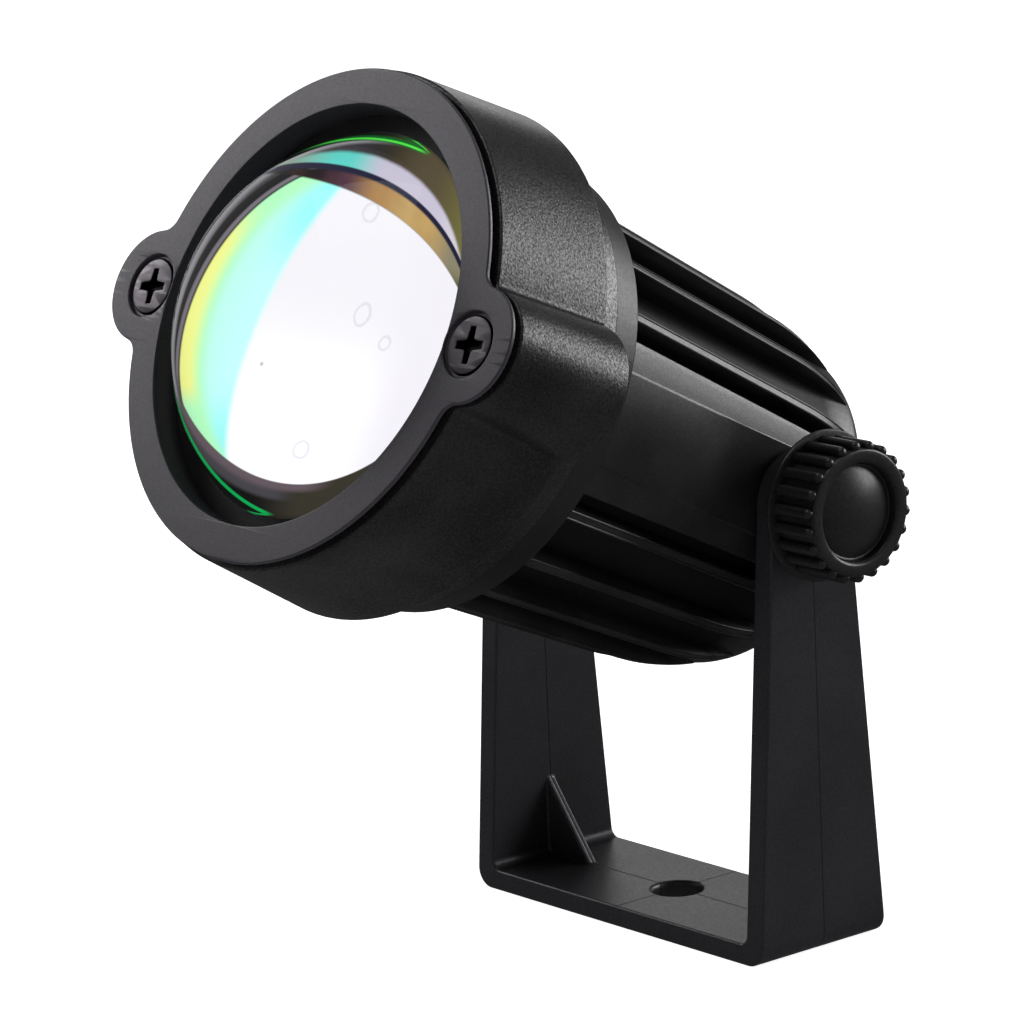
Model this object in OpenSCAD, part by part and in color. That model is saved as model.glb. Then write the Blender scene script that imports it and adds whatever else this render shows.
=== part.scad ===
// Sunset projection lamp: a domed lens head that tilts between the arms of a U-shaped bracket.
// Frame: X runs across the lamp, the light leaves towards -Y, +Z is up. The origin is the centre of the
// base hole on the underside of the bracket.
// The head is drawn along its own axis, with z = 0 at the tilt pivot and +z towards the light, and is then
// turned to its tilt. Lengths are in millimetres.

/* [Bracket] */
// Outer width across the two arms
bracket_w = 55; // [53:0.5:62]
// Thickness of each arm
arm_t = 3; // [2:0.1:4]
// Thickness of the base plate
base_t = 2.6; // [2:0.1:5]
// Depth of the base, front to rear
base_depth = 21.3; // [18:0.1:40]
// Depth of each arm at the height of the pivot
arm_depth = 12.7; // [10:0.1:17]
// Height of the tilt pivot above the underside
pivot_h = 57.4; // [48:0.1:80]
// Rounding of the two outer bottom corners
corner_r = 2.6; // [0.5:0.1:4]
// Rounding of the two inner bottom corners
inner_corner_r = 1.2; // [0.4:0.1:3]
// Height of each gusset above the base plate
gusset_h = 10.4; // [5:0.1:18]
// Length of each gusset along the base plate
gusset_l = 8; // [4:0.1:12]
// Thickness of each gusset
gusset_t = 1.4; // [1:0.1:4]
// Diameter of the fixing hole in the base
base_hole_d = 6.5; // [4:0.1:9]
// Chamfer round the upper edge of the fixing hole
hole_chamfer = 0.3; // [0.1:0.1:1]

/* [Bezel] */
// Upward tilt of the head as drawn, degrees above level
tilt = 27.5; // [-25:0.5:90]
// Distance from the pivot to the front face of the bezel
face_z = 62.5; // [60:0.1:72]
// Outer radius of the bezel ring
bezel_r = 31; // [30.8:0.1:34]
// Radius of the bezel's opening
aperture_r = 26.4; // [25:0.1:26.9]
// Thickness of the bezel from face to back
bezel_t = 2.5; // [2.2:0.1:4]
// Thickness of the thin lip at the bezel's edge
bezel_lip = 0.5; // [0.3:0.1:0.7]
// Width of the shadow gap behind that lip
reveal_w = 1; // [0.4:0.1:1.2]
// Depth of the shadow gap
reveal_d = 1.4; // [0.6:0.1:1.6]
// Length of the skirt that presses on the lens gasket
skirt_len = 1.4; // [0.8:0.1:3]
// Distance of each bezel screw from the lamp's axis
ear_x = 30.6; // [30.2:0.1:34]
// Radius of the ear round each bezel screw
ear_r = 7.2; // [6.6:0.1:9]
// Radius of the hollow fillets between ring and ear
ear_fillet = 2.5; // [1:0.1:5]
// Head radius of the bezel screws
bezel_screw_head_r = 3.5; // [2.8:0.1:3.8]
// Shank radius of the bezel screws
bezel_screw_r = 1.4; // [1:0.1:1.7]
// Wall left between the tips of the bezel screws and the hollow behind the shelf
screw_tip_wall = 0.9; // [0.7:0.1:3]

/* [Front shell] */
// Outer radius of the front shell at its front edge
shell_front_r = 31.4; // [31.2:0.05:34]
// Outer radius of the front shell at its rear step
shell_rear_r = 32.65; // [31.6:0.05:36]
// Length of the front shell from its front edge to its rear step
shell_len = 16.6; // [15.5:0.1:19]
// Wall of the front shell
shell_t = 2.2; // [1.6:0.1:2.4]
// Radius of the screw ridges at the rear step
ridge_rear_r = 8.5; // [7.4:0.1:10]
// Outer radius of the neck behind the step
neck_r = 29.8; // [29.3:0.1:31]
// Length of the neck
neck_len = 4.9; // [4:0.1:6]

/* [Barrel] */
// Length of the barrel's front flange
flange_len = 4.3; // [3.5:0.1:6]
// Radius of the flange at its front edge
flange_front_r = 29.3; // [28.8:0.05:29.3]
// Radius of the flange at its rear edge
flange_rear_r = 28.95; // [28.2:0.05:29.2]
// Radius over the ribs at the flange
crest_front_r = 26.7; // [26.3:0.05:28]
// Radius over the ribs at the pivot
crest_pivot_r = 24.4; // [24.1:0.05:26]
// Length of the barrel behind the pivot
tail_len = 14.8; // [14.2:0.1:22]
// Radius of the curve that draws the barrel in behind the pivot
tail_curve_r = 39.6; // [36:0.1:60]
// Rounding of the rear rim
rim_round_r = 2; // [1:0.1:3]
// Radius of the groove floors at the flange
groove_front_r = 23.4; // [23.2:0.05:24.2]
// Radius of the groove floors at the rear
groove_rear_r = 21.4; // [21.2:0.05:21.8]
// Wall between the groove floors and the inside
barrel_t = 1.7; // [1.2:0.1:1.9]
// Thickness of the rear wall
rear_wall_t = 2; // [1.5:0.1:2.6]
// Width of each rib
rib_w = 1.4; // [0.9:0.1:2.5]
// Angle of the first rib above or below the side of the barrel
rib_first_a = 28.3; // [25:0.1:32]
// Angle from one rib to the next
rib_step_a = 17.9; // [12:0.1:19]
// Ribs in each quarter of the barrel
ribs_per_quarter = 4; // [2:1:4]
// Half angle of the smooth side pads
pad_half_a = 22; // [18:0.5:24]
// Depth of the side pads below the ribs
pad_drop = 0.5; // [0.2:0.1:1]
// Half width of the flat strip along each pad
strip_half_w = 6; // [5.6:0.1:7]
// Radius of the strip's face at the flange
strip_front_x = 26; // [25.2:0.1:26.4]
// Distance in front of the pivot over which the strip stays level
strip_level_len = 12; // [11:0.5:16]

/* [Lens and filter] */
// Radius of the lens flange
lens_flange_r = 28; // [27.5:0.05:28.1]
// Thickness of the lens flange
lens_flange_t = 3.2; // [2:0.1:4]
// Radius of the lens where it leaves the gasket
lens_rim_r = 24.2; // [22:0.1:24.6]
// Radius of curvature of the dome
dome_r = 26.4; // [25:0.1:45]
// Thickness of the lens gasket
gasket_t = 1.6; // [1:0.1:2.5]
// Thickness of the shelf behind the lens
shelf_t = 2.5; // [1.5:0.1:3]
// Opening radius of the shelf
shelf_r = 25.5; // [24.5:0.1:26]
// Radius of the colour filter disc
filter_r = 26.6; // [26.2:0.05:26.8]
// Thickness of the colour filter disc
filter_t = 1.1; // [0.7:0.1:1.6]
// Outer radius of the optic carrier
carrier_r = 27.5; // [27.4:0.05:27.6]
// Wall of the optic carrier
carrier_t = 1.5; // [1.3:0.1:1.6]
// Wall of the reflector cone
reflector_t = 1.2; // [0.8:0.1:1.2]
// Inner radius of the reflector round the LED
reflector_small_r = 6.8; // [6:0.1:8]
// Inner radius of the reflector at the filter
reflector_large_r = 24.6; // [22:0.1:24.7]

/* [Light engine] */
// Distance from the pivot to the front face of the heat sink
sink_z = 14; // [12:0.5:20]
// Radius of the heat sink plate
sink_r = 20.3; // [19.4:0.1:20.4]
// Thickness of the heat sink plate
sink_plate_t = 3; // [2:0.1:5]
// Length of the fins and core behind the plate
sink_fin_len = 14; // [8:0.5:14]
// Gap between the fins and the bosses of the thread inserts
fin_gap = 0.6; // [0.4:0.1:4]
// Thickness of each fin
sink_fin_t = 1.2; // [0.8:0.1:2]
// Radius of the heat sink core
sink_core_r = 8; // [6.5:0.1:10]
// Distance of the two heat sink screws from the axis
post_offset = 17.4; // [17:0.1:17.6]
// Radius of the two screw posts in the barrel
post_r = 3.4; // [2.8:0.1:3.6]
// Radius of the LED board
led_board_r = 9.6; // [9.2:0.1:9.8]
// Thickness of the LED board
led_board_t = 1.6; // [1:0.1:2]
// Radius of the LED's lit face
led_r = 5.2; // [3:0.1:5.4]
// Height of the LED above its board
led_h = 1; // [0.6:0.1:1.4]
// Radius of the driver board
driver_r = 13.4; // [12.6:0.1:13.6]
// Thickness of the driver board
driver_t = 1.6; // [1:0.1:2]
// Gap between the rear wall and the driver board
driver_gap = 2.6; // [2.2:0.1:3]
// Radius of each lead wire
wire_r = 0.5; // [0.3:0.05:0.6]
// Radius of the cord opening in the grommet
cord_hole_r = 2.1; // [1.5:0.1:2.6]
// Radius of the grommet's flange outside the rear wall
grommet_flange_r = 5.6; // [5.2:0.1:7]
// Height of the grommet outside the rear wall
grommet_h = 1.6; // [1:0.1:4]

/* [Knobs] */
// Radius over the lobes of a knob
knob_r = 8.8; // [8:0.1:11]
// Radius of each lobe
lobe_r = 0.85; // [0.6:0.05:1.1]
// Number of lobes round a knob
lobe_count = 22; // [16:1:24]
// Radius of the knob's inner flange
knob_flange_r = 9.4; // [8.8:0.1:12]
// Thickness of the knob's inner flange
knob_flange_t = 0.6; // [0.4:0.1:1.5]
// Length of the lobed part of the knob
knob_len = 6.3; // [6:0.1:12]
// Length of the hub between washer and flange
knob_hub_len = 0.8; // [0.4:0.1:3]
// Radius of that hub
knob_hub_r = 6.2; // [4.5:0.1:7]
// Radius of the recess in the knob's face
recess_r = 6.1; // [5.2:0.1:6.4]
// Depth of the recess
recess_d = 1.3; // [0.8:0.1:1.5]
// Height of the domed cap
cap_h = 1.4; // [0.8:0.1:2]
// Thread radius of the clamp studs
stud_r = 2.45; // [1.9:0.05:2.5]
// Width across the flats of the stud's hexagon head
stud_head_w = 8; // [6:0.1:8.4]
// Height of the stud's head
stud_head_h = 3.5; // [2.5:0.1:3.6]
// Thickness of the steel washer under each knob
washer_t = 1.2; // [0.6:0.1:2]
// Radius of that washer
washer_r = 7.4; // [5.5:0.1:8]
// Thickness of the rubber friction washers
friction_t = 0.5; // [0.4:0.05:0.8]
// Radius of the friction washers
friction_r = 5.5; // [4.8:0.1:5.8]
// Outer radius of the brass thread inserts
insert_r = 3.5; // [3.2:0.05:3.6]
// Length of the thread inserts
insert_len = 6; // [4:0.1:6]

/* [Fits] */
// Radial clearance between parts that slip together
slip = 0.1; // [0.05:0.01:0.15]
// Radial clearance of the turning pivots
run_gap = 0.08; // [0.05:0.01:0.1]

/* [Hidden] */
$fn = 96;
eps = 0.01;
far = 200;

// Bracket
arm_out = bracket_w / 2;
arm_in = arm_out - arm_t;
pivot_hole_r = stud_r + run_gap;

// Heights along the head's axis, from the front backwards
bezel_back = face_z - bezel_t;
shell_front = face_z - bezel_lip - reveal_w;
gasket_front = bezel_back - skirt_len;
lens_front = gasket_front - gasket_t;
lens_back = lens_front - lens_flange_t;
shelf_back = lens_back - shelf_t;
step_z = shell_front - shell_len;
joint_z = step_z - neck_len;
flange_back = joint_z - flange_len;
rear_z = -tail_len;
cavity_z = rear_z + rear_wall_t;

// Bezel and its screws
skirt_r = lens_flange_r - slip;
sink_top_r = bezel_screw_head_r + 0.55;
sink_top_d = 0.6;
head_cone_h = 1.7;
screw_hole_r = bezel_screw_r + 0.3;
cone_top = face_z - sink_top_d;
head_top = face_z - 0.25;
screw_tip_z = shelf_back + screw_tip_wall;
screw_hole_end_z = screw_tip_z - 0.4;
fillet_bite = 0.04;
blend_bite = 0.01;

// Front shell
socket_r = lens_flange_r + slip;
neck_in_r = neck_r - shell_t;
seat_rim_t = 1;
seat_rim_len = 2;
edge_chamfer = 0.3;

// Barrel
crest_slope = (crest_front_r - crest_pivot_r) / flange_back;
groove_end_z = rear_z + rim_round_r;
groove_slope = (groove_front_r - groove_rear_r) / (flange_back - groove_end_z);
spigot_r = neck_in_r - slip;
spigot_t = 1.7;
spigot_len = 5;
seal_r = 0.48;
seal_groove_d = 2 * seal_r + slip / 2 - slip;
seal_groove_w = 1.6;
seal_z = joint_z + spigot_len / 2;
pad_face = arm_in - friction_t;
strip_end = strip_half_w + 1;
insert_boss_r = insert_r + 1.1;
insert_in = pad_face - insert_len;
boss_in = insert_in - 0.6;
post_top = sink_z - sink_plate_t;
sink_rear = post_top - sink_fin_len;
sink_fin_r = boss_in - fin_gap;
post_hole_r = 1.4;
post_hole_len = 9;

// Reflector and carrier
clamp_top = joint_z + spigot_len;
reflector_rim_t = 1;
carrier_back = clamp_top + reflector_rim_t;
filter_back = shelf_back - slip / 2 - filter_t;
led_top = sink_z + led_board_t + led_h;
reflector_back = led_top + 0.6;

// Driver board and the parts on it
driver_back = cavity_z + driver_gap;
driver_front = driver_back + driver_t;
standoff_x = 9;
standoff_r = 2;
led_screw_x = 7.2;
wire_x = 1.2;
wire_y = -(led_board_r + 1.2);
wire_bend_r = 1.1;
wire_hole_r = 2.2;
choke_r = 3.2;
choke_h = 4;
choke_y = 8;
capacitor_r = 2.6;
capacitor_h = 4.2;
capacitor_at = [5.4, -6, 0];
rectifier_size = [5, 4, 2.2];
rectifier_at = [-7.5, -8, 0];
controller_size = [4, 5, 1.6];
controller_at = [-2, -2, 0];

// Small screws of the light engine
led_screw_r = 1.1;
led_screw_len = 5;
sink_screw_r = 1.35;
sink_screw_len = 8;
sink_head_r = 2.6;
sink_head_h = 1.8;
driver_screw_r = 0.9;
driver_screw_len = 2.4;
small_head_r = 1.7;
small_head_h = 1.1;
screw_edge = 0.3;
screw_slot_w = 0.5;
small_gap = 0.15;

// Grommet
grommet_body_r = 4;
grommet_inner_r = 5.2;
grommet_inner_t = 1.2;

// Knobs, measured outwards along X
washer_out = arm_out + washer_t;
flange_in = washer_out + knob_hub_len;
lobes_in = flange_in + knob_flange_t;
knob_out = lobes_in + knob_len;
recess_floor = knob_out - recess_d;
stud_head_in = recess_floor - stud_head_h - slip;
stud_end = insert_in + 0.6;
cap_r = recess_r - 0.15;

// Places its children, drawn along the head's axis, in the lamp's frame
module in_head() {
    translate([0, 0, pivot_h]) rotate([90 - tilt, 0, 0]) children();
}

// Repeats its children at the left and the right
module both_sides() {
    children();
    mirror([1, 0, 0]) children();
}

// Places its children, drawn outwards from x = 0, at the pivot on one side: -1 left, 1 right
module at_pivot(side) {
    translate([0, 0, pivot_h]) mirror([side < 0 ? 1 : 0, 0, 0]) children();
}

// Round bar along X from x0 to x1
module bar_x(x0, x1, r) {
    translate([x0, 0, 0]) rotate([0, 90, 0]) cylinder(h = x1 - x0, r = r);
}

// Tube along z from z0 to z1
module tube(z0, z1, r_out, r_in) {
    difference() {
        translate([0, 0, z0]) cylinder(h = z1 - z0, r = r_out);
        translate([0, 0, z0 - 1]) cylinder(h = z1 - z0 + 2, r = r_in);
    }
}

// Cone or cylinder along z from z0 to z1
module bar_z(z0, z1, r0, r1) {
    translate([0, 0, z0]) cylinder(h = z1 - z0, r1 = r0, r2 = r1);
}

// Solid of revolution about z from [radius, height] points, which start and end on the axis
module turned(points) {
    rotate_extrude() polygon(points);
}

// ---------------------------------------------------------------- bracket

// Outline of the U across the lamp, with its gussets left out
module u_outline() {
    difference() {
        union() {
            translate([-arm_out, corner_r]) square([bracket_w, pivot_h + arm_depth]);
            translate([-arm_out + corner_r, 0]) square([bracket_w - 2 * corner_r, corner_r + 1]);
            for (side = [-1, 1]) translate([side * (arm_out - corner_r), corner_r]) circle(r = corner_r);
        }
        translate([-arm_in, base_t + inner_corner_r]) square([2 * arm_in, far]);
        translate([-arm_in + inner_corner_r, base_t]) square([2 * (arm_in - inner_corner_r), far]);
        for (side = [-1, 1])
            translate([side * (arm_in - inner_corner_r), base_t + inner_corner_r]) circle(r = inner_corner_r);
    }
}

// Outline of one arm from the side: a tall trapezium with a round top
module arm_outline() {
    polygon([
        [-base_depth / 2, 0], [base_depth / 2, 0], [arm_depth / 2, pivot_h], [-arm_depth / 2, pivot_h]
    ]);
    translate([0, pivot_h]) circle(r = arm_depth / 2);
}

module gusset() {
    rotate([90, 0, 0]) translate([0, 0, -gusset_t / 2]) linear_extrude(height = gusset_t)
        polygon([
            [arm_in + 1, base_t - 1], [arm_in - gusset_l, base_t - 1], [arm_in - gusset_l, base_t],
            [arm_in, base_t + gusset_h], [arm_in + 1, base_t + gusset_h]
        ]);
}

module bracket() {
    color([0.10, 0.10, 0.11]) difference() {
        union() {
            intersection() {
                rotate([90, 0, 0]) translate([0, 0, -far / 2]) linear_extrude(height = far) u_outline();
                rotate([90, 0, 90]) translate([0, 0, -far / 2]) linear_extrude(height = far) arm_outline();
            }
            both_sides() gusset();
        }
        translate([0, 0, -1]) cylinder(h = base_t + 2, d = base_hole_d);
        translate([0, 0, base_t - hole_chamfer])
            cylinder(h = hole_chamfer + 1, r1 = base_hole_d / 2, r2 = base_hole_d / 2 + hole_chamfer + 1);
        translate([0, 0, pivot_h]) bar_x(-far / 2, far / 2, pivot_hole_r);
    }
}

// ---------------------------------------------------------------- front of the head

// Front outline of ring and ears, drawn in by inset, with hollow fillets that bite a little into both
module face_outline(inset) {
    ring = bezel_r - inset;
    ear = ear_r - inset;
    fillet = ear_fillet + inset;
    fx = (pow(ear_x, 2) + pow(ring + fillet, 2) - pow(ear + fillet, 2)) / (2 * ear_x);
    fy = sqrt(pow(ring + fillet, 2) - pow(fx, 2));
    circle(r = ring);
    for (side = [-1, 1]) {
        translate([side * ear_x, 0]) circle(r = ear);
        difference() {
            polygon([[0, 0], [side * fx, fy], [side * ear_x, 0], [side * fx, -fy]]);
            for (end = [-1, 1]) translate([side * fx, end * fy]) circle(r = fillet + fillet_bite);
        }
    }
}

module bezel() {
    color([0.20, 0.19, 0.21]) in_head() difference() {
        union() {
            translate([0, 0, face_z - bezel_lip]) linear_extrude(height = bezel_lip) face_outline(0);
            translate([0, 0, bezel_back]) linear_extrude(height = bezel_t - eps) face_outline(reveal_d);
            bar_z(gasket_front, bezel_back + eps, skirt_r, skirt_r);
        }
        bar_z(gasket_front - 1, face_z + 1, aperture_r, aperture_r);
        both_sides() translate([ear_x, 0, 0]) turned([
            [0, face_z + 1], [sink_top_r, face_z + 1], [sink_top_r, cone_top],
            [bezel_screw_head_r + slip, cone_top], [screw_hole_r, cone_top - head_cone_h],
            [screw_hole_r, bezel_back - 1], [0, bezel_back - 1]
        ]);
    }
}

// Countersunk screw pointing backwards, with a cross recess
module bezel_screw() {
    slot_w = bezel_screw_head_r * 0.33;
    slot_l = bezel_screw_head_r * 1.3;
    slot_d = 1.1;
    difference() {
        turned([
            [0, head_top], [bezel_screw_head_r, head_top], [bezel_screw_head_r, cone_top],
            [screw_hole_r - slip, cone_top - head_cone_h], [bezel_screw_r, cone_top - head_cone_h],
            [bezel_screw_r, screw_tip_z], [0, screw_tip_z]
        ]);
        for (turn = [0, 90]) rotate([0, 0, turn])
            translate([-slot_l / 2, -slot_w / 2, head_top - slot_d]) cube([slot_l, slot_w, slot_d + 1]);
    }
}

module bezel_screws() {
    color([0.35, 0.35, 0.37]) in_head() both_sides() translate([ear_x, 0, 0]) bezel_screw();
}

module front_shell() {
    color([0.09, 0.09, 0.10]) in_head() difference() {
        union() {
            turned([
                [0, shell_front], [shell_front_r, shell_front], [shell_rear_r, step_z], [neck_r, step_z],
                [neck_r, joint_z + edge_chamfer], [neck_r - edge_chamfer, joint_z], [0, joint_z]
            ]);
            both_sides() translate([ear_x, 0, 0]) bar_z(step_z, shell_front, ridge_rear_r, ear_r + 0.05);
        }
        translate([0, 0, bezel_back]) linear_extrude(height = far) face_outline(reveal_d - slip);
        bar_z(lens_back, bezel_back + eps, socket_r, socket_r);
        bar_z(joint_z - 1, shell_front, shelf_r, shelf_r);
        difference() {
            bar_z(step_z + shell_t, shelf_back, shell_rear_r - shell_t, shell_rear_r - shell_t - 0.9);
            tube(shelf_back - seat_rim_len, shelf_back + 1, carrier_r + slip + seat_rim_t, 0);
        }
        bar_z(joint_z - 1, shelf_back, neck_in_r, neck_in_r);
        both_sides() translate([ear_x, 0, 0])
            bar_z(screw_hole_end_z, bezel_back + eps, bezel_screw_r + slip / 2, bezel_screw_r + slip / 2);
    }
}

module shell_seal() {
    color([0.05, 0.05, 0.05]) in_head() translate([0, 0, seal_z])
        rotate_extrude() translate([neck_in_r - seal_r - slip / 4, 0]) circle(r = seal_r, $fn = 32);
}

// A flange, and a short rim that ends in the dome
module lens() {
    dome_z = gasket_front - sqrt(pow(dome_r, 2) - pow(lens_rim_r, 2));
    color([0.85, 0.95, 1.0, 0.4]) in_head() {
        bar_z(lens_back, lens_front, lens_flange_r, lens_flange_r);
        intersection() {
            translate([0, 0, dome_z]) rotate([90, 0, 0]) sphere(r = dome_r, $fn = 180);
            bar_z(lens_back, far, lens_rim_r, lens_rim_r);
        }
    }
}

module lens_gasket() {
    color([0.06, 0.06, 0.06]) in_head()
        tube(lens_front, gasket_front, lens_flange_r, lens_rim_r + slip);
}

module colour_filter() {
    color([0.4, 0.8, 0.9, 0.5]) in_head() bar_z(filter_back, filter_back + filter_t, filter_r, filter_r);
}

module optic_carrier() {
    color([0.08, 0.08, 0.08]) in_head() difference() {
        bar_z(carrier_back, shelf_back, carrier_r, carrier_r);
        bar_z(carrier_back - 1, shelf_back + 1, carrier_r - carrier_t, carrier_r - carrier_t);
        bar_z(filter_back, shelf_back + 1, filter_r + slip, filter_r + slip);
    }
}

module reflector() {
    color([0.95, 0.95, 0.93]) in_head() difference() {
        union() {
            bar_z(reflector_back, filter_back, reflector_small_r + reflector_t,
                reflector_large_r + reflector_t);
            bar_z(clamp_top, carrier_back, carrier_r - slip, carrier_r - slip);
        }
        bar_z(reflector_back - eps, filter_back + eps, reflector_small_r, reflector_large_r);
    }
}

// ---------------------------------------------------------------- barrel

// Half section of the barrel over its ribs, drawn in by drop: a cone, then a curve, then the rounded rim.
// Each of these bites a little into the one before it.
module crest_section(drop) {
    curve_a = atan(crest_slope);
    curve_r = tail_curve_r - drop * cos(curve_a);
    centre = [crest_pivot_r - tail_curve_r * cos(curve_a), tail_curve_r * sin(curve_a)];
    join = centre + curve_r * [cos(curve_a), -sin(curve_a)];
    rim_centre_z = rear_z + rim_round_r;
    reach = curve_r - rim_round_r;
    rim_centre_x = centre[0] + sqrt(pow(reach, 2) - pow(rim_centre_z - centre[1], 2));
    rim_dir = [rim_centre_x - centre[0], rim_centre_z - centre[1]] / reach;
    meet_z = centre[1] + curve_r * rim_dir[1];
    polygon([
        [0, join[1] - 1], [join[0] - 1, join[1] - 1], join, [crest_front_r - drop, flange_back],
        [0, flange_back]
    ]);
    intersection() {
        translate(centre) circle(r = curve_r + blend_bite, $fn = 360);
        translate([0, meet_z]) square([far, join[1] + 2 - meet_z]);
    }
    translate([0, rear_z]) square([rim_centre_x, -rear_z]);
    intersection() {
        translate([rim_centre_x, rim_centre_z]) circle(r = rim_round_r + 2 * blend_bite, $fn = 48);
        translate([0, rear_z]) square([far, tail_len]);
    }
}

module crest_body(drop) {
    rotate_extrude($fn = 128) crest_section(drop);
}

// The barrel up to its groove floors, which run out where the rear draws in
module groove_floor_body() {
    intersection() {
        crest_body(0);
        bar_z(rear_z - 1, flange_back + 1, groove_rear_r - groove_slope * (rim_round_r + 1),
            groove_front_r + groove_slope);
    }
}

// Thin radial plates at the rib angles of all four quarters
module rib_plates() {
    for (side = [0, 180], half = [-1, 1], i = [0 : ribs_per_quarter - 1])
        rotate([0, 0, side + half * (rib_first_a + i * rib_step_a)])
            translate([0, -rib_w / 2, rear_z - 1]) cube([far / 2, rib_w, flange_back - rear_z + 2]);
}

module pad_wedges() {
    reach = far / 2;
    both_sides() translate([0, 0, rear_z - 1]) linear_extrude(height = flange_back - rear_z + 2)
        polygon([[0, 0], [reach, -reach * tan(pad_half_a)], [reach, reach * tan(pad_half_a)]]);
}

// Slab across the strip, between its face and the given x: the face is level at the pivot, then slopes out
module strip_slab(x_other) {
    slope = (strip_front_x - pad_face) / (flange_back - strip_level_len);
    translate([0, strip_half_w, 0]) rotate([90, 0, 0]) linear_extrude(height = 2 * strip_half_w) polygon([
        [pad_face, -strip_end], [pad_face, strip_level_len], [strip_front_x + slope, flange_back + 1],
        [x_other, flange_back + 1], [x_other, -strip_end]
    ]);
}

module cavity() {
    turned([
        [0, cavity_z], [groove_rear_r - barrel_t, cavity_z], [groove_front_r - barrel_t, flange_back],
        [spigot_r - spigot_t, joint_z], [spigot_r - spigot_t, joint_z + spigot_len + 1],
        [0, joint_z + spigot_len + 1]
    ]);
}

// Flange and spigot, with the groove of the seal in the spigot
module barrel_front() {
    groove_r = spigot_r - seal_groove_d;
    turned([
        [0, flange_back], [flange_rear_r, flange_back], [flange_front_r, joint_z - edge_chamfer],
        [flange_front_r - edge_chamfer, joint_z], [spigot_r, joint_z], [spigot_r, seal_z - seal_groove_w / 2],
        [groove_r, seal_z - seal_groove_w / 2], [groove_r, seal_z + seal_groove_w / 2],
        [spigot_r, seal_z + seal_groove_w / 2], [spigot_r, joint_z + spigot_len], [0, joint_z + spigot_len]
    ]);
}

module barrel() {
    color([0.09, 0.09, 0.10]) in_head() difference() {
        union() {
            difference() {
                union() {
                    difference() {
                        union() {
                            groove_floor_body();
                            intersection() {
                                crest_body(0);
                                rib_plates();
                            }
                            intersection() {
                                crest_body(pad_drop);
                                pad_wedges();
                            }
                            both_sides() strip_slab(groove_rear_r - barrel_t);
                        }
                        both_sides() strip_slab(far);
                    }
                    barrel_front();
                }
                cavity();
            }
            both_sides() bar_x(boss_in, pad_face, insert_boss_r);
            for (end = [-1, 1]) translate([0, end * post_offset, 0])
                bar_z(cavity_z - eps, post_top, post_r, post_r);
            both_sides() translate([standoff_x, 0, 0])
                bar_z(cavity_z - eps, driver_back, standoff_r, standoff_r);
        }
        both_sides() bar_x(insert_in - eps, pad_face + 1, insert_r + slip / 2);
        for (end = [-1, 1]) translate([0, end * post_offset, 0])
            bar_z(post_top - post_hole_len, post_top + 1, post_hole_r, post_hole_r);
        both_sides() translate([standoff_x, 0, 0])
            bar_z(cavity_z - 0.4, driver_back + 1, driver_screw_r + slip / 2, driver_screw_r + slip / 2);
        bar_z(rear_z - 1, cavity_z + 1, grommet_body_r + slip / 2, grommet_body_r + slip / 2);
    }
}

module cord_grommet() {
    taper = 0.8;
    inner_z = cavity_z + grommet_inner_t;
    color([0.05, 0.05, 0.05]) in_head() difference() {
        turned([
            [0, rear_z - grommet_h], [grommet_flange_r - taper, rear_z - grommet_h],
            [grommet_flange_r, rear_z], [grommet_body_r, rear_z], [grommet_body_r, cavity_z],
            [grommet_inner_r, cavity_z], [grommet_inner_r - taper, inner_z], [0, inner_z]
        ]);
        bar_z(rear_z - grommet_h - 1, inner_z + 1, cord_hole_r, cord_hole_r);
    }
}

// ---------------------------------------------------------------- light engine

// Pan-head screw pointing backwards, its head resting at z = 0
module pan_screw(r, len, head_r, head_h) {
    difference() {
        union() {
            bar_z(0, head_h, head_r, head_r - screw_edge);
            bar_z(-len, eps, r, r);
        }
        for (turn = [0, 90]) rotate([0, 0, turn])
            translate([-head_r * 0.6, -screw_slot_w / 2, head_h * 0.5])
                cube([head_r * 1.2, screw_slot_w, head_h]);
    }
}

module heat_sink() {
    color([0.78, 0.79, 0.80]) in_head() difference() {
        union() {
            bar_z(post_top, sink_z, sink_r, sink_r);
            bar_z(sink_rear, post_top + eps, sink_core_r, sink_core_r);
            for (i = [0 : 11]) if (i != 3 && i != 9) rotate([0, 0, i * 30])
                translate([sink_core_r - 1, -sink_fin_t / 2, sink_rear])
                    cube([sink_fin_r - sink_core_r + 1, sink_fin_t, post_top - sink_rear + eps]);
        }
        for (end = [-1, 1]) translate([0, end * post_offset, 0])
            bar_z(post_top - 1, sink_z + 1, sink_screw_r + 2 * small_gap, sink_screw_r + 2 * small_gap);
        both_sides() translate([led_screw_x, 0, 0])
            bar_z(sink_z - led_screw_len, sink_z + 1, led_screw_r + slip / 2, led_screw_r + slip / 2);
        translate([0, wire_y, 0]) bar_z(post_top - 1, sink_z + 1, wire_hole_r, wire_hole_r);
    }
}

module heat_sink_screws() {
    color([0.6, 0.6, 0.62]) in_head() for (end = [-1, 1])
        translate([0, end * post_offset, sink_z])
            pan_screw(sink_screw_r, sink_screw_len, sink_head_r, sink_head_h);
}

module led_board() {
    color([0.92, 0.92, 0.90]) in_head() difference() {
        bar_z(sink_z, sink_z + led_board_t, led_board_r, led_board_r);
        both_sides() translate([led_screw_x, 0, 0])
            bar_z(sink_z - 1, sink_z + led_board_t + 1, led_screw_r + small_gap, led_screw_r + small_gap);
    }
}

module led_board_screws() {
    color([0.6, 0.6, 0.62]) in_head() both_sides()
        translate([led_screw_x, 0, sink_z + led_board_t])
            pan_screw(led_screw_r, led_screw_len, small_head_r, small_head_h);
}

module led_chip() {
    color([1.0, 0.86, 0.35]) in_head()
        bar_z(sink_z + led_board_t, led_top, led_r, led_r);
}

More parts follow.
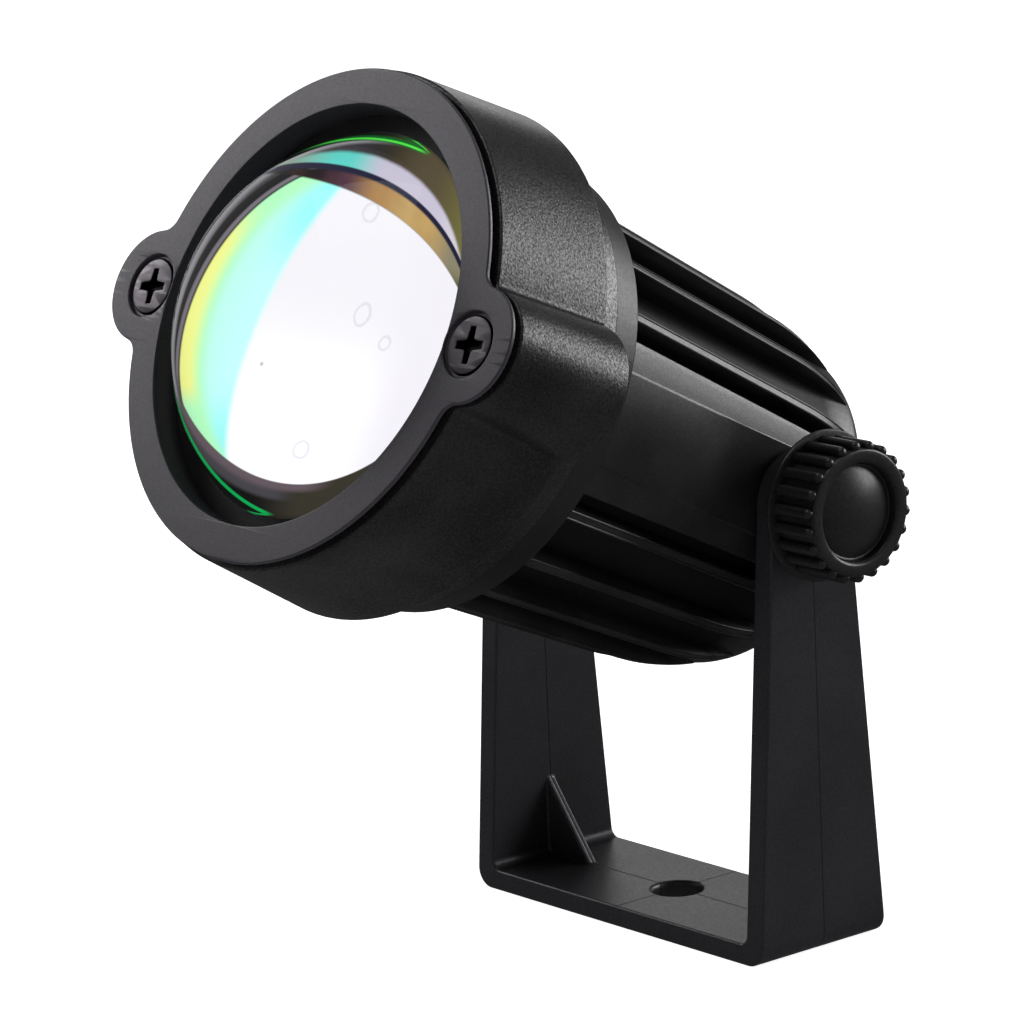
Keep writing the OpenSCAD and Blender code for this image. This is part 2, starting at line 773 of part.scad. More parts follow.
module driver_board() {
    color([0.10, 0.40, 0.18]) in_head() difference() {
        bar_z(driver_back, driver_front, driver_r, driver_r);
        both_sides() translate([standoff_x, 0, 0])
            bar_z(driver_back - 1, driver_front + 1, driver_screw_r + small_gap,
                driver_screw_r + small_gap);
    }
}

// Choke, capacitor, rectifier and controller standing on the driver board
module driver_parts() {
    color([0.15, 0.15, 0.17]) in_head() translate([0, 0, driver_front]) {
        translate([0, choke_y, 0]) cylinder(h = choke_h, r = choke_r);
        translate(capacitor_at) cylinder(h = capacitor_h, r = capacitor_r);
        translate(rectifier_at) cube(rectifier_size);
        translate(controller_at) cube(controller_size);
    }
}

module driver_screws() {
    color([0.6, 0.6, 0.62]) in_head() both_sides()
        translate([standoff_x, 0, driver_front])
            pan_screw(driver_screw_r, driver_t + driver_screw_len, small_head_r, small_head_h);
}

// One wire from the driver board, through the heat sink, over the edge of the LED board and down onto it
module lead_wire() {
    pad_z = sink_z + led_board_t;
    bend_z = pad_z + 0.3;
    bar_z(driver_front, bend_z, wire_r, wire_r);
    translate([0, wire_bend_r, bend_z]) rotate([90, 0, 90])
        rotate_extrude(angle = 180) translate([wire_bend_r, 0]) circle(r = wire_r, $fn = 24);
    translate([0, 2 * wire_bend_r, 0]) bar_z(pad_z, bend_z, wire_r, wire_r);
}

module lead_wires() {
    color([0.75, 0.10, 0.08]) in_head() both_sides() translate([wire_x, wire_y, 0]) lead_wire();
}

// ---------------------------------------------------------------- pivots and knobs

module thread_insert(side) {
    color([0.80, 0.62, 0.30]) at_pivot(side) difference() {
        bar_x(insert_in, pad_face, insert_r);
        bar_x(insert_in - 1, pad_face + 1, stud_r + slip / 2);
    }
}

module friction_washer(side) {
    color([0.04, 0.04, 0.04]) at_pivot(side) difference() {
        bar_x(pad_face, arm_in, friction_r);
        bar_x(pad_face - 1, arm_in + 1, stud_r + slip);
    }
}

module knob_washer(side) {
    color([0.65, 0.65, 0.67]) at_pivot(side) difference() {
        bar_x(arm_out, washer_out, washer_r);
        bar_x(arm_out - 1, washer_out + 1, stud_r + slip);
    }
}

module knob(side) {
    root_r = knob_r - lobe_r;
    color([0.08, 0.08, 0.09]) at_pivot(side) difference() {
        union() {
            bar_x(washer_out, flange_in + eps, knob_hub_r);
            bar_x(flange_in, lobes_in, knob_flange_r);
            translate([lobes_in - eps, 0, 0]) rotate([0, 90, 0]) linear_extrude(height = knob_len + eps) {
                circle(r = root_r + lobe_r * 0.25);
                for (i = [0 : lobe_count - 1]) rotate(i * 360 / lobe_count)
                    translate([root_r, 0]) circle(r = lobe_r, $fn = 24);
            }
        }
        bar_x(recess_floor, knob_out + 1, recess_r);
        bar_x(washer_out - 1, recess_floor, stud_r + slip / 2);
        translate([stud_head_in, 0, 0]) rotate([0, 90, 0])
            cylinder(h = recess_floor - stud_head_in + eps, r = stud_head_w / 2 / cos(30) + slip, $fn = 6);
    }
}

module knob_stud(side) {
    color([0.60, 0.60, 0.62]) at_pivot(side) {
        bar_x(stud_end, stud_head_in + eps, stud_r);
        translate([stud_head_in, 0, 0]) rotate([0, 90, 0])
            cylinder(h = stud_head_h, r = stud_head_w / 2 / cos(30), $fn = 6);
    }
}

// Domed cap that closes the recess over the stud's head
module knob_cap(side) {
    ball_r = (pow(cap_r, 2) + pow(cap_h, 2)) / (2 * cap_h);
    color([0.10, 0.10, 0.11]) at_pivot(side) intersection() {
        translate([recess_floor + cap_h - ball_r, 0, 0]) sphere(r = ball_r, $fn = 128);
        bar_x(recess_floor, recess_floor + cap_h + 1, cap_r);
    }
}

bracket();
barrel();
front_shell();
shell_seal();
bezel();
bezel_screws();
lens();
lens_gasket();
colour_filter();
optic_carrier();
reflector();
led_board();
led_chip();
led_board_screws();
heat_sink();
heat_sink_screws();
driver_board();
driver_parts();
driver_screws();
lead_wires();
cord_grommet();
thread_insert(-1);  // thread_insert_left
thread_insert(1);  // thread_insert_right
friction_washer(-1);  // friction_washer_left
friction_washer(1);  // friction_washer_right
knob(-1);  // knob_left
knob(1);  // knob_right
knob_cap(-1);  // knob_cap_left
knob_cap(1);  // knob_cap_right
knob_stud(-1);  // knob_stud_left
knob_stud(1);  // knob_stud_right
knob_washer(-1);  // knob_washer_left
knob_washer(1);  // knob_washer_right
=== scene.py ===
import math

import bmesh
import bpy
from bpy.props import FloatProperty, FloatVectorProperty, IntProperty, PointerProperty
from mathutils import Matrix, Vector


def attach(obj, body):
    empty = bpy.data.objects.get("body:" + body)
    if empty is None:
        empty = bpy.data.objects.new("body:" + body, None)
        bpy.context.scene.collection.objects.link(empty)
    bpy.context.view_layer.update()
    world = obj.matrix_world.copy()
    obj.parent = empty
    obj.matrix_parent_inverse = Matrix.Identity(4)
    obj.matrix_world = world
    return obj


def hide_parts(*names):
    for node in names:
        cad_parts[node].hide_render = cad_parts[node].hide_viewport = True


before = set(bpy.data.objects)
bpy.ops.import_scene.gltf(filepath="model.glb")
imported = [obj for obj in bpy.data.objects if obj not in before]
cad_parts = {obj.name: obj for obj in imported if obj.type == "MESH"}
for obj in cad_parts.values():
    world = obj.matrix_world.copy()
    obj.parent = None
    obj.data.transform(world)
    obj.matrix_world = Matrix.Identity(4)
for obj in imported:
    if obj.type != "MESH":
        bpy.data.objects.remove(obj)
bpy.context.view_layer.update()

bl_info = {
    "name": "Sunset projection lamp",
    "version": (1, 0, 0),
    "blender": (4, 5, 0),
    "location": "3D View > Sidebar > Lamp",
    "description": "Makes the pieces, finishes and studio of a small projection lamp",
    "category": "Add Mesh",
}

MM = 0.001
SIDES = {"left": -1, "right": 1}


# ---- settings

def length(name, millimetres, description):
    return FloatProperty(name=name, description=description, default=millimetres * MM, min=0.0,
                         precision=5, unit="LENGTH")


def angle(name, degrees, description):
    return FloatProperty(name=name, description=description, default=math.radians(degrees),
                         subtype="ANGLE")


def number(name, value, description):
    return FloatProperty(name=name, description=description, default=value, min=0.0)


def count(name, value, description):
    return IntProperty(name=name, description=description, default=value, min=1)


def tint(name, red, green, blue, description):
    return FloatVectorProperty(name=name, description=description, subtype="COLOR", size=3,
                               default=(red, green, blue), min=0.0, max=1.0)


class HeadSizes(bpy.types.PropertyGroup):
    """Sizes of the tilting head, measured along and around its own axis"""
    pivot_height: length("Pivot height", 57.4, "Height of the tilt pivot above the bracket's underside")
    tilt: angle("Tilt", 27.5, "Tilt of the head above level at rest")
    face: length("Face", 62.5, "Distance from the pivot to the bezel's face")
    bezel_radius: length("Bezel radius", 31.0, "Outer radius of the bezel ring")
    aperture_radius: length("Aperture radius", 26.4, "Radius of the bezel's opening")
    ear_offset: length("Ear offset", 30.6, "Distance of each bezel screw from the axis")
    ear_radius: length("Ear radius", 7.2, "Radius of the ear round each bezel screw")
    ear_fillet: length("Ear fillet", 2.5, "Radius of the hollow fillet between ring and ear")


class BarrelSizes(bpy.types.PropertyGroup):
    """Sizes of the ribbed barrel"""
    rib_width: length("Rib width", 1.4, "Width of each rib")
    rib_edge: length("Rib edge", 0.22, "Rounding of the beads along the ribs' crests")
    first_angle: angle("First rib", 28.3, "Angle of the first rib above or below the side of the barrel")
    step_angle: angle("Rib step", 17.9, "Angle from one rib to the next")
    ribs: count("Ribs per quarter", 4, "Ribs in each quarter of the barrel")


class KnobSizes(bpy.types.PropertyGroup):
    """Sizes of the thumb knobs"""
    radius: length("Knob radius", 8.8, "Radius over the lobes")
    lobe_radius: length("Lobe radius", 0.72, "Radius of each lobe")
    lobes: count("Lobes", 22, "Number of lobes round a knob")


class LampFinish(bpy.types.PropertyGroup):
    """Base colours of the lamp's black plastics"""
    bracket: tint("Bracket", 0.0125, 0.0123, 0.0145, "Satin black of the bracket")
    barrel: tint("Barrel", 0.0085, 0.0085, 0.0092, "Satin black of the barrel")
    shell: tint("Collar", 0.0095, 0.0095, 0.0105, "Textured black of the collar")
    bezel: tint("Bezel", 0.027, 0.024, 0.030, "Dark purplish grey of the bezel")
    knob: tint("Knobs", 0.0075, 0.0073, 0.0085, "Black of the knobs")


class StudioSettings(bpy.types.PropertyGroup):
    """Camera of the studio"""
    position: FloatVectorProperty(name="Camera position", description="Where the camera stands", size=3,
                                  default=(0.493595, -0.431022, 0.201165), subtype="XYZ", unit="LENGTH")
    azimuth: angle("Azimuth", 50.54124, "Direction from which the camera looks, 0 along +Y")
    elevation: angle("Elevation", 12.73809, "Angle of the camera above level")
    roll: angle("Roll", -2.51627, "Turn of the camera about its line of sight")
    focal_length: number("Focal length", 186.754, "Lens of the camera in millimetres on a 36 mm sensor")


def head_matrix():
    """Frame of the head: x across, y up the face and z along its axis, from the pivot"""
    sizes = bpy.context.scene.lamp_head
    turn = Matrix.Rotation(math.pi / 2 - sizes.tilt, 4, "X")
    return Matrix.Translation((0, 0, sizes.pivot_height)) @ turn


def pivot_matrix(side):
    """Frame of one pivot: its z axis runs outwards along the lamp's X"""
    sizes = bpy.context.scene.lamp_head
    return Matrix.Translation((0, 0, sizes.pivot_height)) @ Matrix.Rotation(side * math.pi / 2, 4, "Y")


# ---- node wiring

def add(tree, kind, *values, **settings):
    """Add a node, and give its inputs their values in order"""
    made = tree.nodes.new(kind)
    for key, value in settings.items():
        setattr(made, key, value)
    for i, value in enumerate(values):
        plug(made, i, value)
    return made


def plug(node, key, value):
    """Link a socket to a node's input, or set the input's own value; None leaves it as it is"""
    if isinstance(value, bpy.types.NodeSocket):
        node.id_data.links.new(value, node.inputs[key])
    elif value is not None:
        node.inputs[key].default_value = value


def calc(tree, operation, *values):
    return add(tree, "ShaderNodeMath", *values, operation=operation).outputs[0]


def parts_of(tree, vector):
    return add(tree, "ShaderNodeSeparateXYZ", vector).outputs


def span(tree, value, low, high, to_low=0.0, to_high=1.0, smooth=True):
    """Carry a value from one range to another, without leaving it"""
    kind = "SMOOTHSTEP" if smooth else "LINEAR"
    made = add(tree, "ShaderNodeMapRange", value, low, high, to_low, to_high, interpolation_type=kind)
    return made.outputs[0]


def blend(tree, share, first, second):
    """Mix of two colours, each a socket or three numbers"""
    mixer = add(tree, "ShaderNodeMix", share, data_type="RGBA")
    for key, value in ((6, first), (7, second)):
        plug(mixer, key, value if isinstance(value, bpy.types.NodeSocket) else (*value, 1.0))
    return mixer.outputs[2]


def noise(tree, place, size, detail=2.0, stretch=None):
    """Noise whose blobs are about one size across, in the unit of the place"""
    if stretch:
        place = add(tree, "ShaderNodeVectorMath", place, stretch, operation="MULTIPLY").outputs[0]
    return add(tree, "ShaderNodeTexNoise", place, None, 1.0 / size, detail, 0.5).outputs[0]


def bump(tree, height, depth, strength=1.0, under=None):
    """Relief of a surface, on top of another relief where one is given"""
    made = add(tree, "ShaderNodeBump", strength, depth)
    plug(made, "Height", height)
    plug(made, "Normal", under)
    return made.outputs[0]


def start_finish(name):
    """A new material, its tree, its shader and the place on the object"""
    made = bpy.data.materials.new(name)
    made.use_nodes = True
    tree = made.node_tree
    return made, tree, tree.nodes["Principled BSDF"], add(tree, "ShaderNodeTexCoord").outputs["Object"]


def head_place(tree, place):
    """Position in the head's own frame, in millimetres"""
    inverse = head_matrix().inverted()
    mapping = add(tree, "ShaderNodeMapping", place)
    plug(mapping, "Scale", (1 / MM,) * 3)
    plug(mapping, "Rotation", inverse.to_euler("XYZ"))
    plug(mapping, "Location", inverse.translation / MM)
    return mapping.outputs[0]


def flattened(tree, spot):
    """The same place in the head, moved along the axis to the pivot"""
    return add(tree, "ShaderNodeVectorMath", spot, (1, 1, 0), operation="MULTIPLY").outputs[0]


def off_axis(tree, spot):
    """Distance from the head's axis"""
    return add(tree, "ShaderNodeVectorMath", flattened(tree, spot), operation="LENGTH").outputs["Value"]


def srgb(code):
    """Linear colour of a hexadecimal screen colour"""
    parts = [int(code[i:i + 2], 16) / 255 for i in (0, 2, 4)]
    return tuple(c / 12.92 if c <= 0.04045 else ((c + 0.055) / 1.055) ** 2.4 for c in parts)


# ---- finishes

NECK_FRONT = 44.1      # where the collar's neck starts along the head's axis, in millimetres
SEAM_HALF = 0.16 * MM  # half the width of a parting line
SEAM_FOOT = 2.3 * MM   # below this height the middle plane across the lamp has none


def moulded(name, colour, roughness, grain, depth, gloss=0.5, pebble=0.0, drift=0.35, seams=False,
            neck=False, dull=None, sparkle=0.15, tinge=(1.0, 1.0, 1.0)):
    """Moulded plastic or rubber: fine grain, slow changes of tone and of gloss, and faint rub marks.
    Grain is its size and depth its height, in millimetres; pebble adds round grains; drift is how far
    the tone wanders; seams are thin parting lines on the lamp's middle planes; neck makes the grain finer
    behind the collar; dull is a function of the place in the head that gives the share of colour and
    gloss kept, painting shade into grooves and openings; sparkle is how much the gloss changes from grain to
    grain; tinge is its colour"""
    made, tree, shader, place = start_finish(name)
    grain, depth = grain * MM, depth * MM
    cloud = noise(tree, place, 14 * MM, 3.0)
    dark = [c * (1 - drift) for c in colour]
    light = [min(1.0, c * (1 + drift) + 0.001) for c in colour]
    tone = blend(tree, span(tree, cloud, 0.3, 0.7), dark, light)
    fleck = noise(tree, place, grain * 1.2, 1.0)
    shine = span(tree, fleck, 0.35, 0.65, gloss * (1 - sparkle), gloss * (1 + sparkle), smooth=False)
    if dull:
        share = dull(tree, head_place(tree, place))
        # painted shade: where the share is low the colour is halved and the gloss lowered
        tone = blend(tree, share, [c * 0.5 for c in colour], tone)
        shine = calc(tree, "MULTIPLY", share, shine)

    rub = noise(tree, place, 0.5 * MM, 2.0, (1.0, 0.12, 1.0))
    shade = calc(tree, "ADD", span(tree, cloud, 0.3, 0.7, -0.06 * drift, 0.06 * drift),
                 span(tree, rub, 0.62, 0.75, 0.0, -0.04))
    speck = noise(tree, place, grain * 1.6, 1.0)
    shade = calc(tree, "ADD", shade, span(tree, speck, 0.3, 0.7, -0.03, 0.03))

    relief = noise(tree, place, grain, 2.0)
    if pebble:
        cell = add(tree, "ShaderNodeTexVoronoi", place, None, 1.0 / (grain * 1.8), feature="SMOOTH_F1")
        plug(cell, "Smoothness", 0.6)
        relief = calc(tree, "ADD", relief, calc(tree, "MULTIPLY", cell.outputs["Distance"], -pebble))
    if neck:
        along = parts_of(tree, head_place(tree, place))[2]
        relief = calc(tree, "MULTIPLY", relief, span(tree, along, NECK_FRONT, NECK_FRONT + 0.4, 0.8, 1.0))
    normal = bump(tree, relief, depth)
    if seams:
        across, deep, high = parts_of(tree, place)
        foot = span(tree, high, SEAM_FOOT, SEAM_FOOT + 0.2 * MM, MM, 0.0)
        off = calc(tree, "MINIMUM", calc(tree, "ADD", calc(tree, "ABSOLUTE", across), foot),
                   calc(tree, "ABSOLUTE", deep))
        normal = bump(tree, span(tree, off, 0.0, SEAM_HALF), 0.04 * MM, under=normal)
        share = span(tree, off, 0.02 * MM, SEAM_HALF, 0.45, 1.0)
        tone = blend(tree, share, [c * 0.2 for c in colour], tone)
        shine = calc(tree, "MULTIPLY", share, shine)

    plug(shader, "Base Color", tone)
    plug(shader, "Roughness", calc(tree, "ADD", shade, roughness))
    plug(shader, "Normal", normal)
    plug(shader, "Specular IOR Level", shine)
    plug(shader, "Specular Tint", (*tinge, 1.0))
    return made


def shade_in_grooves(tree, spot):
    """Painted shade between the barrel's ribs, and a little on its flange: the share of colour and gloss
    kept
    """
    along = parts_of(tree, spot)[2]
    far = calc(tree, "SUBTRACT", off_axis(tree, spot), calc(tree, "MULTIPLY", along, 0.0535))
    rear = span(tree, along, -6.0, -12.0)
    share = calc(tree, "MAXIMUM", span(tree, far, 22.6, 24.0, 0.12, 1.0), rear)
    return calc(tree, "MULTIPLY", share, span(tree, far, 25.6, 26.4, 1.0, 0.7))


def shade_in_bore(tree, spot):
    """Painted shade inside the bezel's opening"""
    edge = bpy.context.scene.lamp_head.aperture_radius / MM
    return span(tree, off_axis(tree, spot), edge + 0.02, edge + 0.12, 0.3, 1.0)


def metal(name, colour, roughness, shaded_recess_below=None):
    """Machined or plated metal with fine turning marks; painted shade, near black, below a height in the
    head, in millimetres
    """
    made, tree, shader, place = start_finish(name)
    cloud = noise(tree, place, 4 * MM, 3.0)
    brushed = noise(tree, place, 0.25 * MM, 2.0, (0.15, 1.0, 1.0))
    tone = blend(tree, span(tree, cloud, 0.3, 0.7), [c * 0.75 for c in colour], colour)
    if shaded_recess_below:
        height = parts_of(tree, head_place(tree, place))[2]
        # painted shade: near black inside the screws' cross recess
        tone = blend(tree, span(tree, height, shaded_recess_below - 0.06, shaded_recess_below), (0.004, 0.004, 0.004), tone)
    plug(shader, "Base Color", tone)
    plug(shader, "Roughness", calc(tree, "ADD", span(tree, brushed, 0.3, 0.7, -0.06, 0.08), roughness))
    plug(shader, "Metallic", 1.0)
    plug(shader, "Normal", bump(tree, brushed, 0.01 * MM, 0.4))
    return made


def clear_glass(name):
    """Clear lens glass with the faintest smudges"""
    made, tree, shader, place = start_finish(name)
    smudge = noise(tree, place, 5 * MM, 4.0)
    plug(shader, "Roughness", span(tree, smudge, 0.45, 0.8, 0.0, 0.03))
    plug(shader, "Base Color", blend(tree, smudge, (0.97, 0.99, 1.0), (1.0, 1.0, 1.0)))
    plug(shader, "Transmission Weight", 1.0)
    plug(shader, "IOR", 1.5)
    plug(shader, "Specular Tint", (0.12, 0.14, 0.16, 1.0))
    return made


def filter_glass(name):
    """Glossy blue-green filter with slow changes of tone"""
    made, tree, shader, place = start_finish(name)
    cloud = noise(tree, place, 6 * MM, 2.0)
    colour = (0.25, 0.75, 0.8)
    plug(shader, "Base Color", blend(tree, cloud, colour, [c * 0.7 for c in colour]))
    plug(shader, "Roughness", span(tree, cloud, 0.3, 0.7, 0.1, 0.2))
    plug(shader, "Metallic", 0.3)
    return made


# circles of the pattern on the coat and of the reflections painted on it, in millimetres from the axis:
# across, up and radius
SPOT_LEFT = (2.48, -2.04, 17.85)
SPOT_LOW = (0.56, 4.16, 19.22)
SPOT_TOP = (-3.75, -24.56, 36.05)
WHITE_EDGE = (28.51, -5.61, 37.89)
YELLOW_CENTRE = (3.2, -1.15)
GOLD_REFLECTION = (-1.17, -12.35, 25.6)
LAVENDER_REFLECTION = (-0.65, -2.59, 18.4)
RIM_REFLECTION_OUTER = (3.5, -0.84, 20.13)
RIM_REFLECTION_INNER = (1.38, -1.02, 17.55)
GREEN_REFLECTION_TOP = (2.79, -2.5, 21.72)
GREEN_REFLECTION_LOW = (4.56, 1.73, 22.37)
RING_MARKS = ((-1.23, 10.5, 0.85), (1.9, 1.75, 0.95), (6.1, -0.4, 0.7), (-0.4, -11.3, 0.9))
SPECK = (-7.6, -3.9, 0.16)


def lit_coat_with_painted_reflections(name):
    """Lit colour coat behind the lens: a white spot edged with cyan and yellow. Around it are painted
    reflections in the dome:
    arcs of gold and lavender above it, olive at the upper right, a silvery band along the glass rim on the
    left and green lines along the dome's edge"""
    made, tree, shader, place = start_finish(name)
    spot = flattened(tree, head_place(tree, place))
    across, up = parts_of(tree, spot)[:2]
    wobble = calc(tree, "MULTIPLY", calc(tree, "SUBTRACT", noise(tree, spot, 2.2, 3.0), 0.5), 0.5)

    def ramp(value, low, high, to_low=0.0, to_high=1.0):
        return span(tree, value, low, high, to_low, to_high)

    def reach(circle, rough=0.0):
        gauge = add(tree, "ShaderNodeVectorMath", spot, (*circle[:2], 0), operation="DISTANCE")
        far = gauge.outputs["Value"]
        return calc(tree, "ADD", far, calc(tree, "MULTIPLY", wobble, rough)) if rough else far

    def inside(far, radius, soft=0.15):
        return ramp(far, radius - soft, radius + soft, 1.0, 0.0)

    def ring(far, radius, half, soft):
        off = calc(tree, "ABSOLUTE", calc(tree, "SUBTRACT", far, radius))
        return ramp(off, half, half + soft, 1.0, 0.0)

    def both(*masks):
        out = masks[0]
        for mask in masks[1:]:
            out = calc(tree, "MULTIPLY", out, mask)
        return out

    def paint(under, *coats):
        """Screen colours or sockets over one another, each where all of its masks are 1"""
        under = srgb(under)
        for over, *masks in coats:
            under = blend(tree, both(*masks), under, srgb(over) if isinstance(over, str) else over)
        return under

    left_edge, low_edge, cut = reach(SPOT_LEFT), reach(SPOT_LOW), reach(SPOT_TOP)
    gold_reflection_rim, lavender_reflection_rim = reach(GOLD_REFLECTION), reach(LAVENDER_REFLECTION, 0.4)
    rim_reflection, green_reflection_rim, yellow = reach(RIM_REFLECTION_OUTER), reach(GREEN_REFLECTION_TOP), reach(YELLOW_CENTRE)
    upper, lower = ramp(up, 6.0, 9.0), ramp(up, -6.0, -9.0)
    past_white = calc(tree, "SUBTRACT", reach(WHITE_EDGE), WHITE_EDGE[2])

    # grey is the painted reflection of the glass rim, brighter towards its outer edge
    grey = paint("3c3a3e", ("a09ea3", ramp(rim_reflection, 19.3, 20.05)))
    # band and gold are the colours of painted reflections in the dome
    band = paint("8fa898", ("5ccfc4", ramp(across, -12.0, -7.0)), ("c2bcce", ramp(across, -6.0, -1.5)),
                 ("cec8d2", ramp(across, 6.0, 12.0)))
    gold = paint("1c1618", ("4e3444", ramp(across, -9.0, -5.0)), ("a8804c", ramp(across, -5.5, -1.0)),
                 ("bc9c64", ramp(across, -1.0, 3.0)), ("87806a", ramp(across, 6.0, 12.0)),
                 ("8a5f36", ramp(wobble, -0.05, 0.25, 0.0, 0.35)))
    cyan = paint("9cf6f4", ("c0fbf6", ramp(up, 9.0, 2.0), ramp(up, -11.0, -5.0)),
                 ("bcfbea", ramp(past_white, 1.0, 4.0)), ("b2fac0", ramp(yellow, 15.8, 17.3)),
                 ("f0f58e", ramp(yellow, 16.6, 18.0), both(ramp(up, 8.5, 4.0), ramp(up, -8.5, -6.0))))
    marks = [("cdc8d2", calc(tree, "MULTIPLY", ring(reach(mark, 1.6), mark[2], 0.06, 0.14), 0.45))
             for mark in RING_MARKS]
    lit = paint("fbfbfd", ("ecebf0", ramp(up, -6.0, 3.0)), ("ebe8ef", ramp(across, 2.0, 12.0)), *marks,
                ("bdb8b8", inside(reach(SPECK), SPECK[2], 0.1)), (cyan, ramp(past_white, -0.3, 0.6)))
    colour = paint(
        "141414",
        # olive at the upper right, a painted reflection in the dome, and olive along the bottom
        ("554c3a", upper, ramp(across, -6.0, 4.0)),
        ("74713f", upper, ramp(across, 4.0, 16.0)),
        ("38352c", lower, inside(low_edge, 24.0, 0.6), ramp(across, -6.0, 2.0)),
        # greyish plum under the spot
        ("464449", lower, inside(low_edge, 21.4, 0.4), ramp(across, 1.0, -3.0)),
        ("62555c", lower, inside(low_edge, 20.1, 0.4), ramp(across, 6.0, 1.0)),
        # painted reflection of the glass rim: a silvery band on the left
        (grey, inside(rim_reflection, RIM_REFLECTION_OUTER[2], 0.12),
         ramp(reach(RIM_REFLECTION_INNER), RIM_REFLECTION_INNER[2] - 0.1, RIM_REFLECTION_INNER[2] + 0.1),
         ramp(up, -9.0, -6.5), ramp(across, 0.0, -7.0)),
        ("77707a", ring(left_edge, 18.15, 0.06, 0.2), ramp(up, -8.0, -5.0), ramp(across, -6.0, -10.0)),
        # painted reflections of the dome's edge: green lines, the upper one with a glow outside it
        ("1c6a2c", ring(green_reflection_rim, GREEN_REFLECTION_TOP[2] + 0.23, 0.3, 0.7), ramp(across, 3.6, 0.8),
         ramp(across, -13.0, -9.0), upper),
        ("58ec52", ring(green_reflection_rim, GREEN_REFLECTION_TOP[2], 0.10, 0.22), ramp(across, 3.2, 1.0),
         ramp(across, -12.5, -8.5), upper),
        ("12b058", ring(reach(GREEN_REFLECTION_LOW), GREEN_REFLECTION_LOW[2], 0.14, 0.3), lower, ramp(across, -1.5, -4.0)),
        # painted reflections in the dome: cyan to lavender band, dark line and gold band
        (band, inside(lavender_reflection_rim, LAVENDER_REFLECTION[2], 0.3), upper,
         ramp(gold_reflection_rim, GOLD_REFLECTION[2], GOLD_REFLECTION[2] + 0.3)),
        ("23233a", ring(gold_reflection_rim, GOLD_REFLECTION[2] + 0.3, 0.2, 0.2), upper,
         inside(lavender_reflection_rim, LAVENDER_REFLECTION[2] + 0.2)),
        (gold, ramp(cut, 36.0, 36.2), inside(gold_reflection_rim, GOLD_REFLECTION[2]), upper),
        # lit spot
        (lit, inside(left_edge, SPOT_LEFT[2], 0.1), inside(low_edge, SPOT_LOW[2], 0.1),
         inside(cut, SPOT_TOP[2], 0.12)))

    plug(shader, "Base Color", (0.0, 0.0, 0.0, 1.0))
    plug(shader, "Specular IOR Level", 0.0)
    plug(shader, "Roughness", 1.0)
    plug(shader, "Emission Color", colour)
    plug(shader, "Emission Strength", 1.12)
    return made


def make_finishes():
    """All finishes by the names of their slots"""
    tone = bpy.context.scene.lamp_finish
    plastics = {  # colour, roughness, grain and depth in millimetres, and what else sets it apart
        "bracket_plastic": (tone.bracket, 0.38, 0.28, 0.010,
                            dict(drift=0.1, seams=True, tinge=(0.96, 0.94, 1.0))),
        "barrel_plastic": (tone.barrel, 0.38, 0.2, 0.012, dict(dull=shade_in_grooves)),
        "shell_plastic": (tone.shell, 0.31, 0.26, 0.026, dict(pebble=0.3, neck=True, sparkle=0.55)),
        "bezel_plastic": (tone.bezel, 0.38, 0.25, 0.008,
                          dict(drift=0.08, dull=shade_in_bore, tinge=(0.96, 0.91, 1.0))),
        "knob_plastic": (tone.knob, 0.34, 0.3, 0.002, dict(drift=0.1)),
        "black_rubber": ((0.012, 0.012, 0.012), 0.7, 0.2, 0.02, dict(gloss=0.3)),
        "carrier_plastic": ((0.012, 0.012, 0.012), 0.5, 0.3, 0.01, {}),
        "reflector_white": ((0.8, 0.8, 0.78), 0.35, 0.4, 0.006, dict(drift=0.03)),
        "board_white": ((0.75, 0.75, 0.72), 0.4, 0.3, 0.006, dict(drift=0.05)),
        "led_yellow": ((0.9, 0.62, 0.08), 0.3, 0.3, 0.01, dict(drift=0.08)),
        "board_green": ((0.01, 0.11, 0.03), 0.35, 0.4, 0.006, dict(drift=0.15)),
        "component_black": ((0.015, 0.015, 0.016), 0.45, 0.2, 0.01, {}),
        "wire_red": ((0.42, 0.01, 0.008), 0.35, 0.3, 0.005, dict(drift=0.1)),
    }
    metals = {  # colour, roughness and, for the screws, the height below which the cross recess is painted black as shade
        "screw_steel": ((0.125, 0.114, 0.127), 0.36, SCREW_TOP - 0.12),
        "bright_steel": ((0.56, 0.56, 0.58), 0.25),
        "insert_brass": ((0.78, 0.52, 0.20), 0.25),
        "sink_aluminium": ((0.72, 0.73, 0.75), 0.32),
    }
    made = {name: moulded(name, *values, **extra) for name, (*values, extra) in plastics.items()}
    made.update({name: metal(name, *values) for name, values in metals.items()})
    made.update(clear_lens=clear_glass("clear_lens"), filter_glass=filter_glass("filter_glass"))
    return made


def finish(name):
    """The finish of one material slot, made once"""
    if name not in bpy.data.materials or "lamp" not in bpy.data.materials[name]:
        for slot, made in make_finishes().items():
            old = bpy.data.materials.get(slot)
            if old is not None and old != made:
                old.name = slot + "_plain"
                made.name = slot
            made["lamp"] = True
    return bpy.data.materials[name]


# ---- meshes

SHARP = math.radians(35)


def new_piece(name, mesh, slot, body, *nodes):
    """Put a mesh into the scene as a finished piece that rides on a body and stands for its nodes"""
    mesh.materials.clear()
    mesh.materials.append(finish(slot))
    made = loose_object(name, mesh)
    if nodes:
        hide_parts(*nodes)
    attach(made, body)
    return made


def head_piece(name, mesh, slot, *nodes):
    """A finished piece of the head, from a mesh in the head's own frame"""
    mesh.transform(head_matrix())
    return new_piece(name, mesh, slot, "head", *nodes)


def loose_object(name, held):
    """An object in the scene that holds a mesh or a curve"""
    made = bpy.data.objects.new(name, held)
    bpy.context.scene.collection.objects.link(made)
    return made


